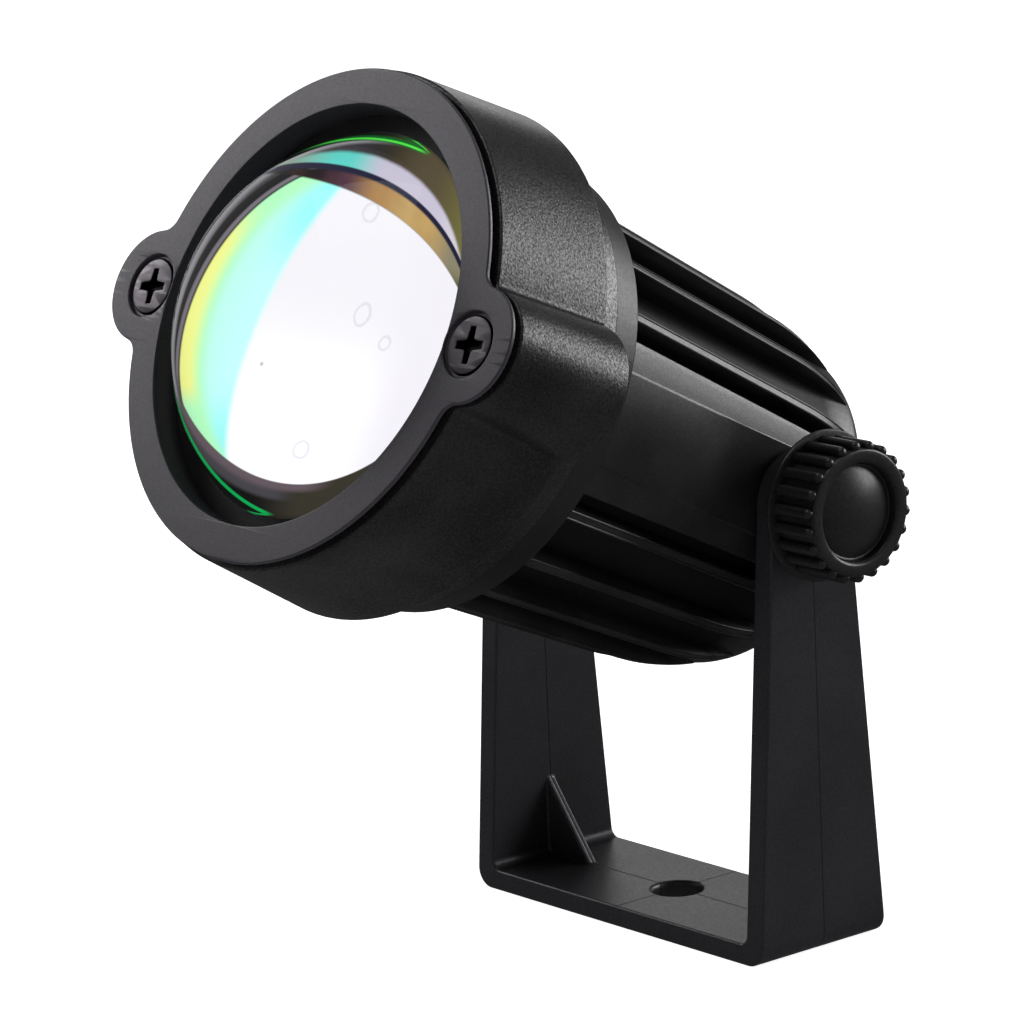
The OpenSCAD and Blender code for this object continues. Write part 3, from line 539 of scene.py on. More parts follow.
def plain_mesh(made):
    """The object's evaluated shape as a plain mesh; the object goes"""
    graph = bpy.context.evaluated_depsgraph_get()
    mesh = bpy.data.meshes.new_from_object(made.evaluated_get(graph), depsgraph=graph)
    bpy.data.objects.remove(made)
    return mesh


def write_mesh(work, mesh):
    work.to_mesh(mesh)
    work.free()
    return mesh


def soften(made):
    """Smooth shading that keeps flat faces flat"""
    for face in made.data.polygons:
        face.use_smooth = True
    made.data.set_sharp_from_angle(angle=SHARP)
    weight = made.modifiers.new("Even normals", "WEIGHTED_NORMAL")
    weight.keep_sharp = True
    weight.weight = 100


def softened(name, mesh):
    """The mesh with smooth shading"""
    piece = loose_object(name + "_work", mesh)
    soften(piece)
    return plain_mesh(piece)


def rounded_copy(node, width):
    """A node's own shape with its edges rounded"""
    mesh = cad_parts[node].data.copy()
    work = bmesh.new()
    work.from_mesh(mesh)
    bmesh.ops.remove_doubles(work, verts=work.verts, dist=1e-6)
    bmesh.ops.dissolve_limit(work, angle_limit=math.radians(0.6), verts=work.verts, edges=work.edges,
                             delimit={"NORMAL"})
    for face in work.faces:
        face.smooth = False
    write_mesh(work, mesh)
    for layer in [a for a in mesh.attributes if a.name in ("custom_normal", "sharp_edge", "sharp_face")]:
        mesh.attributes.remove(layer)
    made = loose_object(node + "_work", mesh)
    edge = made.modifiers.new("Rounded edges", "BEVEL")
    edge.width = width
    edge.segments = 3
    edge.limit_method = "ANGLE"
    edge.angle_limit = math.radians(30)
    edge.use_clamp_overlap = False
    edge.miter_outer = "MITER_ARC"
    soften(made)
    return plain_mesh(made)


def around(radius, steps, x=0.0):
    """Points of a circle in one plane, anticlockwise"""
    return [(x + radius * math.cos(2 * math.pi * i / steps), radius * math.sin(2 * math.pi * i / steps))
            for i in range(steps)]


def turned(name, profile, steps):
    """Solid of revolution about z from (radius, height) points in millimetres; those on the axis close it"""
    rows = [[(x, y, h) for x, y in around(r, steps)] if r > 1e-6 else [(0, 0, h)] for r, h in profile]
    return skin(name, rows, profile[0][0] > 1e-6)


def skin(name, rows, join_ends):
    """Closed surface through rows of points in millimetres; each row is a loop, or one point at a pole"""
    work = bmesh.new()
    made = [[work.verts.new(Vector(point) * MM) for point in row] for row in rows]
    steps = max(len(row) for row in made)
    for low, high in zip(made, made[1:] + (made[:1] if join_ends else [])):
        for i in range(steps):
            j = (i + 1) % steps
            corners = [low[i % len(low)], low[j % len(low)], high[j % len(high)], high[i % len(high)]]
            corners = [v for k, v in enumerate(corners) if v not in corners[:k]]
            if len(corners) > 2:
                work.faces.new(corners)
    bmesh.ops.remove_doubles(work, verts=work.verts, dist=1e-7)
    bmesh.ops.dissolve_degenerate(work, edges=work.edges, dist=1e-7)
    bmesh.ops.recalc_face_normals(work, faces=work.faces)
    return softened(name, write_mesh(work, bpy.data.meshes.new(name)))


def plate(name, outlines, low, high, edge):
    """Flat plate between two heights, from closed outlines in millimetres (the first is the outside), with
    its edges rounded"""
    curve = bpy.data.curves.new(name, "CURVE")
    curve.dimensions = "2D"
    curve.fill_mode = "BOTH"
    for points in outlines:
        line = curve.splines.new("POLY")
        line.points.add(len(points) - 1)
        for held, (x, y) in zip(line.points, points):
            held.co = (x * MM, y * MM, 0, 1)
        line.use_cyclic_u = True
    curve.bevel_depth = edge * MM
    curve.bevel_resolution = 2
    curve.offset = -edge * MM
    curve.extrude = ((high - low) / 2 - edge) * MM
    mesh = plain_mesh(loose_object(name + "_work", curve))
    work = bmesh.new()
    work.from_mesh(mesh)
    bmesh.ops.remove_doubles(work, verts=work.verts, dist=1e-7)
    bmesh.ops.recalc_face_normals(work, faces=work.faces)
    write_mesh(work, mesh)
    mesh.transform(Matrix.Translation((0, 0, (low + high) / 2 * MM)))
    return softened(name, mesh)


def joined(name, meshes):
    """One mesh from several"""
    parts = [loose_object(name + "_part", mesh) for mesh in meshes]
    chosen = dict(active_object=parts[0], object=parts[0], selected_editable_objects=parts)
    with bpy.context.temp_override(**chosen):
        bpy.ops.object.join()
    return plain_mesh(parts[0])


def rounding(x, y, radius, start, end, steps=4):
    """Points of an arc, angles in degrees"""
    turns = [math.radians(start + (end - start) * i / steps) for i in range(steps + 1)]
    return [(x + radius * math.cos(a), y + radius * math.sin(a)) for a in turns]


def face_reach(turn, ring, ear, fillet):
    """Distance from the axis to the outline of ring and ears in one direction, in millimetres"""
    offset = bpy.context.scene.lamp_head.ear_offset / MM
    off = abs(math.remainder(turn, math.pi))
    fx = (offset ** 2 + (ring + fillet) ** 2 - (ear + fillet) ** 2) / (2 * offset)
    fy = math.sqrt((ring + fillet) ** 2 - fx ** 2)
    share = ear / (ear + fillet)
    if off >= math.atan2(fy, fx):
        return ring
    if off <= math.atan2(fy * share, offset + (fx - offset) * share):
        return offset * math.cos(off) + math.sqrt(ear ** 2 - (offset * math.sin(off)) ** 2)
    far, lean = math.hypot(fx, fy), math.atan2(fy, fx) - off
    return far * math.cos(lean) - math.sqrt(max(0.0, fillet ** 2 - (far * math.sin(lean)) ** 2))


def face_turns():
    """Directions round the axis, half a degree apart up to 22 degrees from the ears' middle, then wider"""
    quarter = [i * 0.5 for i in range(44)] + [22 + i * 68 / 50 for i in range(50)]
    half = [*quarter, 90.0, *[180 - a for a in reversed(quarter[1:])]]
    return [math.radians(a) for a in half] + [math.radians(a + 180) for a in half]


# ---- main sizes of the pieces, in millimetres

SCREW_TOP = 62.25                           # the screw heads' faces
JOINT = 39.5                                # where collar and barrel meet
LENS_BACK = 53.8                            # the lens's seat in the collar
REAR, WALL = -14.8, -12.8                   # outer and inner face of the rear wall
RIM, CURVE = 2.0, 39.6                      # roundings of the barrel's rear edge and of its tail
FLANGE_BACK = 35.2                          # where the ribs end at the flange
CAVITY_RADIUS = 25.8                        # inside the spigot
PIVOT_CREST, FLANGE_CREST = 24.4, 26.7      # radius over the ribs at the pivot and at the flange
SLOPE = (FLANGE_CREST - PIVOT_CREST) / FLANGE_BACK
PAD_DROP, PAD_EDGE = 0.5, math.radians(22)  # the pads lie below the ribs' crests and end at this angle
STRIP_HALF, STRIP_FACE = 6.0, 24.0          # half the width of the strips beside the pivots, and their faces
STRIP_REAR, STRIP_BEND = -7, 12             # where the strips end, and where they start to rise
CAP_SEAT = 35.1                             # the caps' seats in the knobs, from the lamp's middle plane


def crest(s, drop=0.0):
    """Radius over the ribs, drawn in by drop, at one place along the axis"""
    lean = math.atan(SLOPE)
    centre_r, centre_s = PIVOT_CREST - CURVE * math.cos(lean), CURVE * math.sin(lean)
    curve = CURVE - drop * math.cos(lean)
    rim_s = REAR + RIM
    rim_r = centre_r + math.sqrt((curve - RIM) ** 2 - (rim_s - centre_s) ** 2)
    meet = centre_s + curve * (rim_s - centre_s) / (curve - RIM)
    if s >= 0:
        return PIVOT_CREST + SLOPE * s - drop
    if s >= meet:
        return centre_r + math.sqrt(curve ** 2 - (s - centre_s) ** 2)
    return rim_r + math.sqrt(max(0.0, RIM ** 2 - (s - rim_s) ** 2))


def pad(s):
    """Radius of the pads beside the strips"""
    return crest(s, PAD_DROP)


def groove(s):
    """Radius of the groove floors"""
    return min(21.4 + (s - WALL) * 2.0 / 48.0, crest(s))


def strip(s):
    """Distance of the flat strip's face from the lamp's middle plane"""
    return STRIP_FACE + max(0, s - STRIP_BEND) * 2.0 / (FLANGE_BACK - STRIP_BEND)


def strip_face(s, v):
    """The strip is flat at the pivot and as round as the pads beside it at the flange"""
    share = min(1.0, max(0.0, (s - 9) / 11))
    share = share * share * (3 - 2 * share)
    return strip(s) * (1 - share) + math.sqrt((pad(s) + 0.16) ** 2 - v * v) * share


def barrel_heights():
    """Places along the axis at which the barrel's skin has a row of points"""
    steps = [FLANGE_BACK, 32, 28, 24, 20, 16, 12, 8, 4, 2, 0, -2, -4, -5.5, STRIP_REAR + 0.01,
             STRIP_REAR - 0.01, -8, -9, -10, -11, -12, -12.6, -13.0]
    return steps + [REAR + RIM - RIM * math.sin(math.radians(a)) for a in (18, 30, 42, 54, 66, 78, 90)]


def barrel_columns():
    """Functions that give a point of the barrel's skin at a height, one for each line along it,
    anticlockwise"""
    soft, soft_radius = 0.3, 24  # the pads' rounded edges, and the radius by which these become angles

    def pad_at(v):
        return lambda s: (math.sqrt(max(0.0, pad(s) ** 2 - v * v)), v)

    def on_strip(v, drop=0.0):
        return lambda s: (strip_face(s, v) - drop, v) if s > STRIP_REAR else pad_at(v)(s)

    def polar(turn, reach):
        return lambda s: (reach(s) * math.cos(turn), reach(s) * math.sin(turn))

    def on_pad(share):
        def make(s):
            start = math.asin(STRIP_HALF / pad(s))
            turn = start + (PAD_EDGE - soft / soft_radius - start) * share
            return pad(s) * math.cos(turn), pad(s) * math.sin(turn)
        return make

    def pad_side(drop):
        return lambda s: max(pad(s) - drop, min(groove(s), pad(s)))

    def mirrored(columns, flip_x, flip_y):
        return [lambda s, make=make: (make(s)[0] * flip_x, make(s)[1] * flip_y) for make in columns]

    quarter = [on_strip(v) for v in (0, 1.5, 3, 4.5, 5.6, 5.85)]
    quarter += [on_strip(STRIP_HALF, 0.12), pad_at(STRIP_HALF)]
    quarter += [on_pad(i / 5) for i in range(1, 6)]
    quarter += [polar(PAD_EDGE - soft * 0.3 / soft_radius, pad_side(soft * 0.3)),
                polar(PAD_EDGE, pad_side(soft))]
    quarter += [polar(PAD_EDGE + (math.pi / 2 - PAD_EDGE) * i / 44, groove) for i in range(44)]
    back = quarter[::-1]
    return [*quarter, polar(math.pi / 2, groove), *mirrored(back, -1, 1), *mirrored(quarter[1:], -1, -1),
            polar(-math.pi / 2, groove), *mirrored(back[:-1], 1, -1)]


# ---- repeated pieces

def spread_tree():
    """Geometry Nodes: copies of the given shape turned about the z axis by a rule, in one set or in four
    mirrored quarters"""
    tree = bpy.data.node_groups.new("Spread round an axis", "GeometryNodeTree")
    face = tree.interface
    face.new_socket("Geometry", in_out="INPUT", socket_type="NodeSocketGeometry")
    for name, kind in (("Copies", "Int"), ("Sets", "Int"), ("First angle", "Float"), ("Step angle", "Float"),
                       ("Finish", "Material")):
        face.new_socket(name, in_out="INPUT", socket_type="NodeSocket" + kind)
    face.new_socket("Geometry", in_out="OUTPUT", socket_type="NodeSocketGeometry")
    given = tree.nodes.new("NodeGroupInput").outputs
    index = add(tree, "GeometryNodeInputIndex").outputs[0]
    sets, copies = given["Sets"], given["Copies"]
    row = calc(tree, "FLOOR", calc(tree, "DIVIDE", index, sets))
    place = calc(tree, "MODULO", index, sets)
    sign = calc(tree, "SUBTRACT", 1.0, calc(tree, "MULTIPLY", calc(tree, "MODULO", place, 2.0), 2.0))
    side = calc(tree, "MULTIPLY", calc(tree, "FLOOR", calc(tree, "DIVIDE", place, 2.0)), math.pi)
    lean = calc(tree, "MULTIPLY_ADD", row, given["Step angle"], given["First angle"])
    turn = calc(tree, "MULTIPLY_ADD", lean, sign, side)
    points = add(tree, "GeometryNodePoints", calc(tree, "MULTIPLY", copies, sets)).outputs[0]
    spin = add(tree, "ShaderNodeCombineXYZ", None, None, turn).outputs[0]
    placed = add(tree, "GeometryNodeInstanceOnPoints")
    plug(placed, "Points", points)
    plug(placed, "Instance", given["Geometry"])
    plug(placed, "Rotation", spin)
    real = add(tree, "GeometryNodeRealizeInstances", placed.outputs[0]).outputs[0]
    dressed = add(tree, "GeometryNodeSetMaterial", real)
    plug(dressed, "Material", given["Finish"])
    out = tree.nodes.new("NodeGroupOutput")
    tree.links.new(dressed.outputs[0], out.inputs[0])
    return tree


def repeated(name, mesh, slot, copies, step, sets=1, first=0.0):
    """The shape repeated round the z axis, as a plain mesh"""
    made = loose_object(name + "_work", mesh)
    rule = made.modifiers.new("Spread", "NODES")
    rule.node_group = spread_tree()
    given = {"Copies": copies, "Sets": sets, "First angle": first, "Step angle": step,
             "Finish": finish(slot)}
    for socket in rule.node_group.interface.items_tree:
        if socket.in_out == "INPUT" and socket.name in given:
            rule[socket.identifier] = given[socket.name]
    made.update_tag()
    bpy.context.view_layer.update()
    return plain_mesh(made)


# ---- operators

class LampOperator:
    """What all of the lamp's operators share"""
    bl_options = {"REGISTER", "UNDO"}

    def execute(self, context):
        self.make(context.scene)
        return {"FINISHED"}


class LAMP_OT_finishes(LampOperator, bpy.types.Operator):
    """Give every node of the frame the finish of its material slot"""
    bl_idname = "lamp.finishes"
    bl_label = "Finishes"

    def make(self, scene):
        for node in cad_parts.values():
            for holder in node.material_slots:
                if holder.material is None:
                    raise RuntimeError(f"node {node.name} has an empty material slot")
                holder.material = finish(holder.material.name.split(".")[0].replace("_plain", ""))


class LAMP_OT_bracket(LampOperator, bpy.types.Operator):
    """Make the U bracket with its gussets and fixing hole"""
    bl_idname = "lamp.bracket"
    bl_label = "Bracket"

    def make(self, scene):
        edge = 0.25 * MM
        new_piece("bracket_body", rounded_copy("bracket", edge), "bracket_plastic", "bracket", "bracket")


class LAMP_OT_lens(LampOperator, bpy.types.Operator):
    """Make the glass lens and the lit colour coat behind it"""
    bl_idname = "lamp.lens"
    bl_label = "Lens"

    def make(self, scene):
        dome, centre = 26.4, 48.05
        front, rim, flange, edge = 57.0, 24.2, 28.0, 0.3
        start = math.asin(rim / dome)
        profile = [(0.0, LENS_BACK), (flange - edge, LENS_BACK), (flange, LENS_BACK + edge),
                   (flange, front - edge), (flange - edge, front), (rim, front)]
        profile += [(dome * math.sin(start * (1 - i / 48)), centre + dome * math.cos(start * (1 - i / 48)))
                    for i in range(49)]
        head_piece("lens_glass", turned("lens", profile, 192), "clear_lens", "lens")
        radius, low, high = 23.6, LENS_BACK + 0.02, LENS_BACK + 0.08
        coat = turned("coat", [(0.0, low), (radius, low), (radius, high), (0.0, high)], 96)
        piece = head_piece("lens_coating", coat, "filter_glass")
        piece.data.materials[0] = lit_coat_with_painted_reflections("lens_coat")


class LAMP_OT_bezel(LampOperator, bpy.types.Operator):
    """Make the bezel ring with its two ears and skirt"""
    bl_idname = "lamp.bezel"
    bl_label = "Bezel"

    def make(self, scene):
        head = scene.lamp_head
        face, ring, ear = head.face / MM, head.bezel_radius / MM, head.ear_radius / MM
        fillet, aperture = head.ear_fillet / MM, head.aperture_radius / MM
        skirt_radius, skirt_end, skirt_edge = 27.9, face - 3.7, 0.2
        turns = face_turns()

        def outlines(inset, opening, hole):
            reach = [face_reach(a, ring - inset, ear - inset, fillet + inset) for a in turns]
            outside = [(r * math.cos(a), r * math.sin(a)) for r, a in zip(reach, turns)]
            holes = [around(hole, 64, side * head.ear_offset / MM) for side in (1, -1)]
            return [outside, around(opening, 256), *holes]

        front = plate("front", outlines(0, aperture, 4.05), face - 0.6, face, 0.16)
        rear = plate("rear", outlines(1.4, aperture + 0.8, 3.65), face - 2.5, face - 0.55, 0.05)
        skirt = turned("skirt", [
            (aperture, face - 0.3), (aperture, skirt_end),
            *rounding(skirt_radius - skirt_edge, skirt_end, skirt_edge, 270, 360),
            (skirt_radius, face - 0.58), (aperture + 0.4, face - 0.3)], 256)
        head_piece("bezel_ring", joined("bezel", [front, rear, skirt]), "bezel_plastic", "bezel")


class LAMP_OT_collar(LampOperator, bpy.types.Operator):
    """Make the front shell: the collar with its two screw ridges, and the neck behind it"""
    bl_idname = "lamp.collar"
    bl_label = "Collar"

    def make(self, scene):
        ear = scene.lamp_head.ear_radius / MM
        front, rear, floor = 61.0, 44.4, 60.0
        bore, step, mouth, stop = 27.6, 25.5, 28.1, 51.3
        outer_radius, draft, edge, fold = 31.4, 1.25, 0.3, 0.9
        turns = face_turns()
        rows = []

        def row(reach, s):
            radii = [reach(a) if callable(reach) else reach for a in turns]
            rows.append([(r * math.cos(a), r * math.sin(a), s) for r, a in zip(radii, turns)])

        def outer(s, inset=0.0):
            grow = draft * (front - s) / (front - rear)
            return lambda turn: face_reach(turn, outer_radius + grow, ear + 0.05 + grow, fold) + inset

        def pocket(turn):
            return face_reach(turn, 29.7, ear - 1.3, 3.8)

        for r, s in ((bore, JOINT + 0.2), (bore, stop), (step, stop), (step, LENS_BACK), (mouth, LENS_BACK),
                     (mouth, floor), (pocket, floor), (pocket, front - 0.1),
                     (lambda a: pocket(a) + 0.1, front)):
            row(r, s)
        for dr, ds in rounding(-edge, -edge, edge, 90, 0):
            row(outer(front + ds, dr), front + ds)
        for s in (57, 53, 49, 46.5):
            row(outer(s), s)
        for dr, ds in rounding(-edge, edge, edge, 0, -90):
            row(outer(rear + ds, dr), rear + ds)
        for r, s in (*rounding(30.2, rear - 0.4, 0.4, 90, 180), (29.8, JOINT + 0.35),
                     *rounding(29.45, JOINT + 0.35, 0.35, 0, -90, 3), (27.8, JOINT)):
            row(r, s)
        head_piece("collar", skin("collar", rows, True), "shell_plastic", "front_shell")


class LAMP_OT_barrel(LampOperator, bpy.types.Operator):
    """Make the barrel with its flange, pads, strips and ribs"""
    bl_idname = "lamp.barrel"
    bl_label = "Barrel"

    def make(self, scene):
        sizes = scene.lamp_barrel
        ribs = repeated("ribs", self.rib(sizes), "barrel_plastic", sizes.ribs, sizes.step_angle, 4,
                        sizes.first_angle)
        mesh = joined("barrel", [self.core(), ribs, *self.posts(), *self.bosses()])
        head_piece("barrel_body", mesh, "barrel_plastic", "barrel")

    def core(self):
        """Spigot, flange, outer skin, rear wall with the cord's hole, and cavity"""
        spigot, seal_seat, end, inlet, hub = 27.5, 26.6, 45.5, 4.05, 12
        columns = barrel_columns()
        turns = [math.atan2(y, x) for x, y in (make(FLANGE_BACK) for make in columns)]

        def rings(*places):
            return [[(r * math.cos(a), r * math.sin(a), s) for a in turns] for r, s in places]

        return skin("barrel_core", [
            *rings((CAVITY_RADIUS, end), (spigot, end), (spigot, 42.8), (seal_seat, 42.8), (seal_seat, 41.2),
                   (spigot, 41.2), (spigot, JOINT), *rounding(28.95, JOINT - 0.35, 0.35, 90, 0, 3),
                   *rounding(28.7, FLANGE_BACK + 0.25, 0.25, 0, -90, 3)),
            *[[(*make(s), s) for make in columns] for s in barrel_heights()],
            *rings((hub, REAR), (inlet, REAR), (inlet, WALL), (hub, WALL), (19.7, WALL), (21.7, FLANGE_BACK),
                   (CAVITY_RADIUS, JOINT))], True)

    def posts(self):
        """The two posts inside that carry the driver board"""
        bore, radius, low, high = 1.4, 3.4, WALL - 0.1, 11.0
        for side in (1, -1):
            post = turned("post", [(bore, low), (radius, low), (radius, high - 0.1), (radius - 0.1, high),
                                   (bore, high)], 40)
            post.transform(Matrix.Translation((0, side * 17.4 * MM, 0)))
            yield post

    def bosses(self):
        """The two round seats of the thread inserts"""
        bore, radius, low, high = 3.55, 4.6, 17.4, 23.98
        for side in (1, -1):
            boss = turned("boss", [(bore, low + 0.6), (bore, high - 0.03), (3.7, high), (radius, 23.9),
                                   (radius, low), (0, low), (0, low + 0.6)], 48)
            boss.transform(Matrix.Rotation(side * math.pi / 2, 4, "Y"))
            yield boss

    def rib(self, sizes):
        """One rib along the x side of the barrel, with a bead along each edge of its crest"""
        half, edge = sizes.rib_width / MM / 2, sizes.rib_edge / MM
        rear = -12.3
        inner = [s for s in barrel_heights() if rear < s and abs(s - STRIP_REAR + 0.01) > 0.005]
        arc = rounding(-edge, -edge, edge, 0, 90, 3)
        rows = []
        for s in (FLANGE_BACK + 0.4, *inner, rear):
            top, root = crest(s), groove(s) - 0.6
            side = [*[(top + y, half + x) for x, y in arc], (top, half - edge - 0.06),
                    (top - 0.12, half - edge - 0.16)]
            section = [(root, half), *side, *[(r, -w) for r, w in reversed(side)], (root, -half)]
            rows.append([(r, w, s) for r, w in section])

        def centre(row):
            return [tuple(sum(point[k] for point in row) / len(row) for k in range(3))]

        return skin("rib", [centre(rows[0]), *rows, centre(rows[-1])], False)


class LAMP_OT_screws(LampOperator, bpy.types.Operator):
    """Make the two countersunk bezel screws"""
    bl_idname = "lamp.screws"
    bl_label = "Bezel screws"

    def make(self, scene):
        wide, reach, notch = 0.56, 2.25, 0.28
        head, shank, tip = 3.5, 1.4, 52.25
        corner = [(reach, wide * 0.8), (wide + notch, wide), (wide, wide + notch), (wide * 0.8, reach)]
        cross = []
        for quarter in range(4):
            turn = Matrix.Rotation(quarter * math.pi / 2 + math.radians(6), 2)
            cross += [tuple(turn @ Vector(point)) for point in corner]
        cap = plate("screw_head", [around(head, 72), cross], SCREW_TOP - 1.0, SCREW_TOP, 0.1)
        body = turned("screw_shank", [
            (0, SCREW_TOP - 0.98), (head - 0.12, SCREW_TOP - 0.98), (head - 0.08, SCREW_TOP - 0.4),
            (head, 61.9), (shank + 0.2, 60.2), (shank, 60.2), (shank, 52.8), (shank - 0.5, tip),
            (0, tip)], 48)
        mesh = joined("screw", [cap, body])
        mesh.transform(Matrix.Translation((scene.lamp_head.ear_offset, 0, 0)))
        pair = repeated("screws", mesh, "screw_steel", 2, math.pi)
        head_piece("bezel_screws_pair", pair, "screw_steel", "bezel_screws")


class LAMP_OT_knobs(LampOperator, bpy.types.Operator):
    """Make the lobed thumb knobs and the domed caps in their faces"""
    bl_idname = "lamp.knobs"
    bl_label = "Knobs"

    def make(self, scene):
        sizes = scene.lamp_knob
        for name, side in SIDES.items():
            for piece, mesh, node in (("knob_body_", self.body(sizes), "knob_"),
                                      ("knob_cap_dome_", self.cap(), "knob_cap_")):
                mesh.transform(pivot_matrix(side))
                new_piece(piece + name, mesh, "knob_plastic", "knob_" + name, node + name)

    def body(self, sizes):
        """A knob with its skirt, the ring of lobes and the pocket for the cap"""
        lobe = sizes.lobe_radius / MM
        root = sizes.radius / MM - lobe
        bore, pocket, seat, skirt = 2.55, 6.1, 4.7, 9.4
        back, skirt_low, skirt_high, face = 28.7, 29.5, 30.1, 36.4
        core = turned("knob_core", [
            (bore, back), (6.2, back), (6.2, skirt_low),
            *rounding(skirt - 0.15, skirt_low + 0.15, 0.15, -90, 0, 2),
            *rounding(skirt - 0.15, skirt_high - 0.15, 0.15, 0, 90, 2),
            (root - 0.2, skirt_high), (root - 0.2, face - 0.5),
            *rounding(root - 0.5, face - 0.3, 0.3, 0, 90, 3),
            *rounding(pocket + 0.5, face - 0.5, 0.5, 90, 180), (pocket, CAP_SEAT), (seat, CAP_SEAT),
            (seat, 31.5), (bore, 31.5)], 176)
        end = 35.6
        ball = [(lobe * math.cos(math.radians(a)), end + lobe * 0.9 * math.sin(math.radians(a)))
                for a in (0, 22, 45, 68)]
        one = turned("lobe", [(0, skirt_high - 0.05), (lobe, skirt_high - 0.05), *ball,
                              (0, end + lobe * 0.9)], 20)
        one.transform(Matrix.Translation((root * MM, 0, 0)))
        lobes = repeated("lobes", one, "knob_plastic", sizes.lobes, 2 * math.pi / sizes.lobes)
        return joined("knob", [core, lobes])

    def cap(self):
        """A domed cap"""
        rise, wide = 1.4, 5.95
        ball = (wide ** 2 + rise ** 2) / (2 * rise)
        lean = math.asin((wide - 0.25) / ball)
        dome = [(ball * math.sin(lean * (1 - i / 14)),
                 CAP_SEAT + rise - ball + ball * math.cos(lean * (1 - i / 14))) for i in range(15)]
        return turned("cap", [(0, CAP_SEAT), (wide, CAP_SEAT), (wide, CAP_SEAT + 0.06),
                              (wide - 0.08, CAP_SEAT + 0.18), *dome], 96)


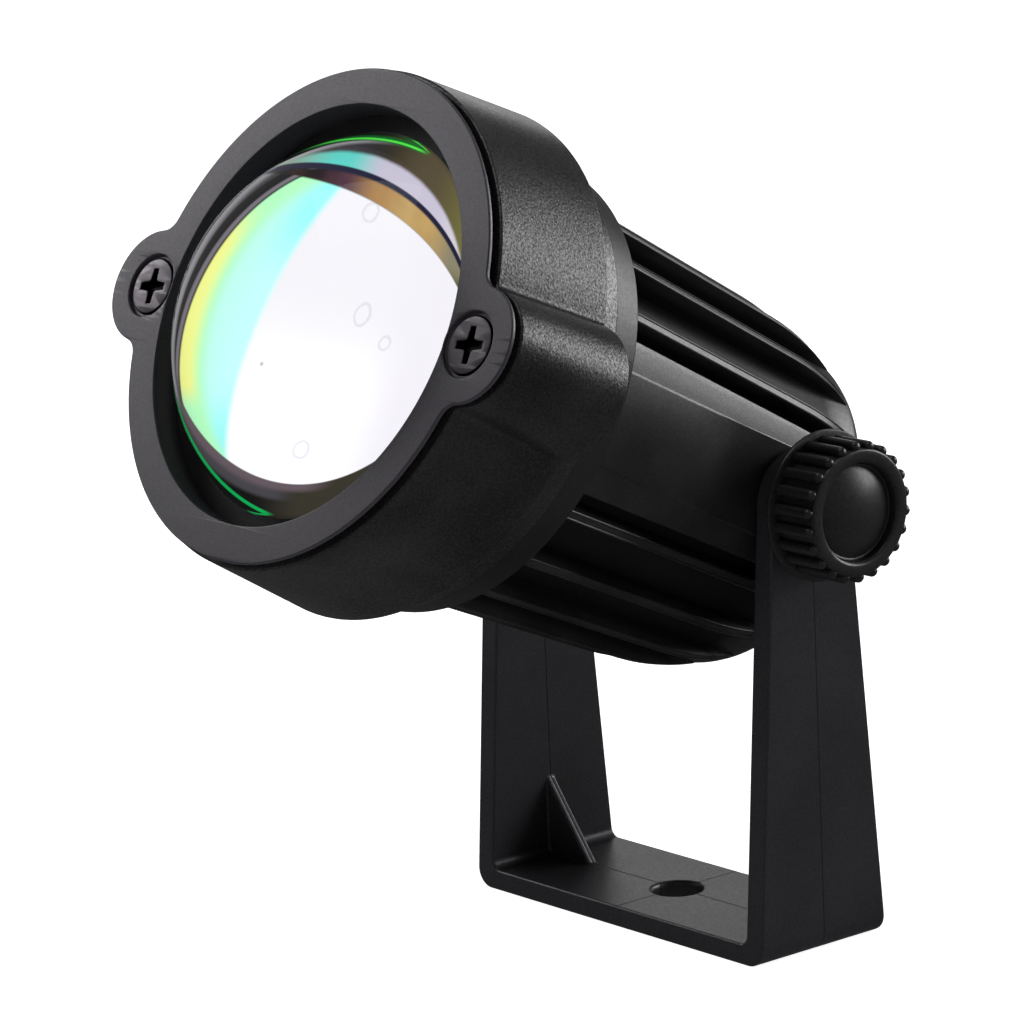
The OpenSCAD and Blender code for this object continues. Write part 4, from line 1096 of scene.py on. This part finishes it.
class LAMP_OT_studio(LampOperator, bpy.types.Operator):
    """Set up the floor, the backdrop, the lights and the camera"""
    bl_idname = "lamp.studio"
    bl_label = "Studio"

    # shape, direction from the lamp, distance, width, height and watts
    LIGHTS = {
        "softbox_rear": ("RECTANGLE", (0.34, 0.90, 0.27), 0.9, 0.68, 0.34, 4.8),
        "softbox_front": ("ELLIPSE", (-0.652, -0.209, 0.339), 0.76, 0.34, 0.36, 1.4),
        "softbox_left": ("RECTANGLE", (-0.753, 0.62, 0.24), 0.7, 0.3, 0.2, 0.2),
        "softbox_top": ("RECTANGLE", (-0.1, -0.1, 1.0), 1.0, 0.7, 0.7, 2.0),
    }
    TARGET = Vector((0.0, -0.02, 0.06))

    def make(self, scene):
        floor = bmesh.new()
        bmesh.ops.create_circle(floor, cap_ends=True, segments=96, radius=3.0)
        self.paper("floor", floor, 0.3, (0.82, 0.86), 0.9, 0.9)
        backdrop = bmesh.new()
        bmesh.ops.create_uvsphere(backdrop, u_segments=64, v_segments=32, radius=3.2)
        backdrop = self.paper("backdrop", backdrop, 0.5, (0.0, 0.01), 0.5, 1.0)
        backdrop.visible_diffuse = backdrop.visible_transmission = backdrop.visible_shadow = False
        self.sky(scene)
        for name, values in self.LIGHTS.items():
            self.softbox(name, *values)
        self.keep_off("lens_glass", "softbox_front")
        self.camera(scene)
        scene.view_settings.view_transform = "Standard"

    def paper(self, name, work, size, greys, roughness, glow):
        """A piece of the stage in faintly clouded paper that gives some light itself"""
        mesh = write_mesh(work, bpy.data.meshes.new(name))
        held = loose_object(name, mesh)
        made, tree, shader, place = start_finish(name + "_paper")
        cloud = noise(tree, place, size, 2.0)
        plug(shader, "Base Color", blend(tree, cloud, *[(grey,) * 3 for grey in greys]))
        plug(shader, "Roughness", roughness)
        plug(shader, "Emission Color", (1, 1, 1, 1))
        plug(shader, "Emission Strength", glow)
        mesh.materials.append(made)
        held.visible_glossy = False
        return held

    def sky(self, scene):
        """A faint sky, darker below"""
        world = bpy.data.worlds.new("studio")
        scene.world = world
        world.use_nodes = True
        tree = world.node_tree
        sky = tree.nodes["Background"]
        rise = parts_of(tree, add(tree, "ShaderNodeTexCoord").outputs["Generated"])[2]
        plug(sky, 0, blend(tree, span(tree, rise, -0.35, 0.15), (0.45, 0.45, 0.45), (1.0, 1.0, 1.0)))
        plug(sky, 1, 0.15)

    def softbox(self, name, shape, way, far, wide, tall, watts):
        """An area light that faces the lamp"""
        light = bpy.data.lights.new(name, "AREA")
        light.shape, light.size, light.size_y, light.energy = shape, wide, tall, watts
        lamp = loose_object(name, light)
        way = Vector(way).normalized()
        lamp.location = self.TARGET + way * far
        lamp.rotation_mode = "QUATERNION"
        lamp.rotation_quaternion = way.to_track_quat("Z", "Y")
        lamp.visible_camera = False

    def keep_off(self, piece, light):
        """Light linking: the piece neither gets nor mirrors the light"""
        kept_off = bpy.data.collections.new("kept off " + light)
        kept_off.objects.link(bpy.data.objects[piece])
        bpy.data.objects[light].light_linking.receiver_collection = kept_off
        kept_off.collection_objects[0].light_linking.link_state = "EXCLUDE"

    def camera(self, scene):
        """The camera at the photo's angle"""
        studio = scene.lamp_studio
        az, el, roll = studio.azimuth, studio.elevation, studio.roll
        back = Vector((math.sin(az) * math.cos(el), -math.cos(az) * math.cos(el), math.sin(el)))
        level = (-back).cross(Vector((0, 0, 1))).normalized()
        upright = level.cross(-back)
        right = math.cos(roll) * level + math.sin(roll) * upright
        up = math.cos(roll) * upright - math.sin(roll) * level
        lens = bpy.data.cameras.new("camera")
        lens.lens, lens.sensor_width = studio.focal_length, 36.0
        lens.clip_start, lens.clip_end = 0.01, 20.0
        camera = loose_object("camera", lens)
        turn = Matrix((right, up, back)).transposed()
        camera.matrix_world = Matrix.Translation(Vector(studio.position)) @ turn.to_4x4()
        scene.camera = camera


PIECES = (LAMP_OT_finishes, LAMP_OT_bracket, LAMP_OT_barrel, LAMP_OT_collar, LAMP_OT_bezel, LAMP_OT_screws,
          LAMP_OT_lens, LAMP_OT_knobs, LAMP_OT_studio)
SETTINGS = {"lamp_head": HeadSizes, "lamp_barrel": BarrelSizes, "lamp_knob": KnobSizes,
            "lamp_finish": LampFinish, "lamp_studio": StudioSettings}


class LAMP_PT_sidebar(bpy.types.Panel):
    """Lists the lamp's pieces and settings"""
    bl_label = "Sunset projection lamp"
    bl_idname = "LAMP_PT_sidebar"
    bl_space_type = "VIEW_3D"
    bl_region_type = "UI"
    bl_category = "Lamp"

    def draw(self, context):
        for piece in PIECES:
            self.layout.operator(piece.bl_idname)
        for group in SETTINGS:
            box = self.layout.box()
            held = getattr(context.scene, group)
            for key in SETTINGS[group].__annotations__:
                box.prop(held, key)


def register():
    for kind in (*SETTINGS.values(), *PIECES, LAMP_PT_sidebar):
        bpy.utils.register_class(kind)
    for name, kind in SETTINGS.items():
        setattr(bpy.types.Scene, name, PointerProperty(type=kind))


def unregister():
    for name in SETTINGS:
        delattr(bpy.types.Scene, name)
    for kind in reversed((*SETTINGS.values(), *PIECES, LAMP_PT_sidebar)):
        bpy.utils.unregister_class(kind)


def main():
    register()
    for piece in PIECES:
        group, name = piece.bl_idname.split(".")
        getattr(getattr(bpy.ops, group), name)()


if __name__ == "__main__":
    main()
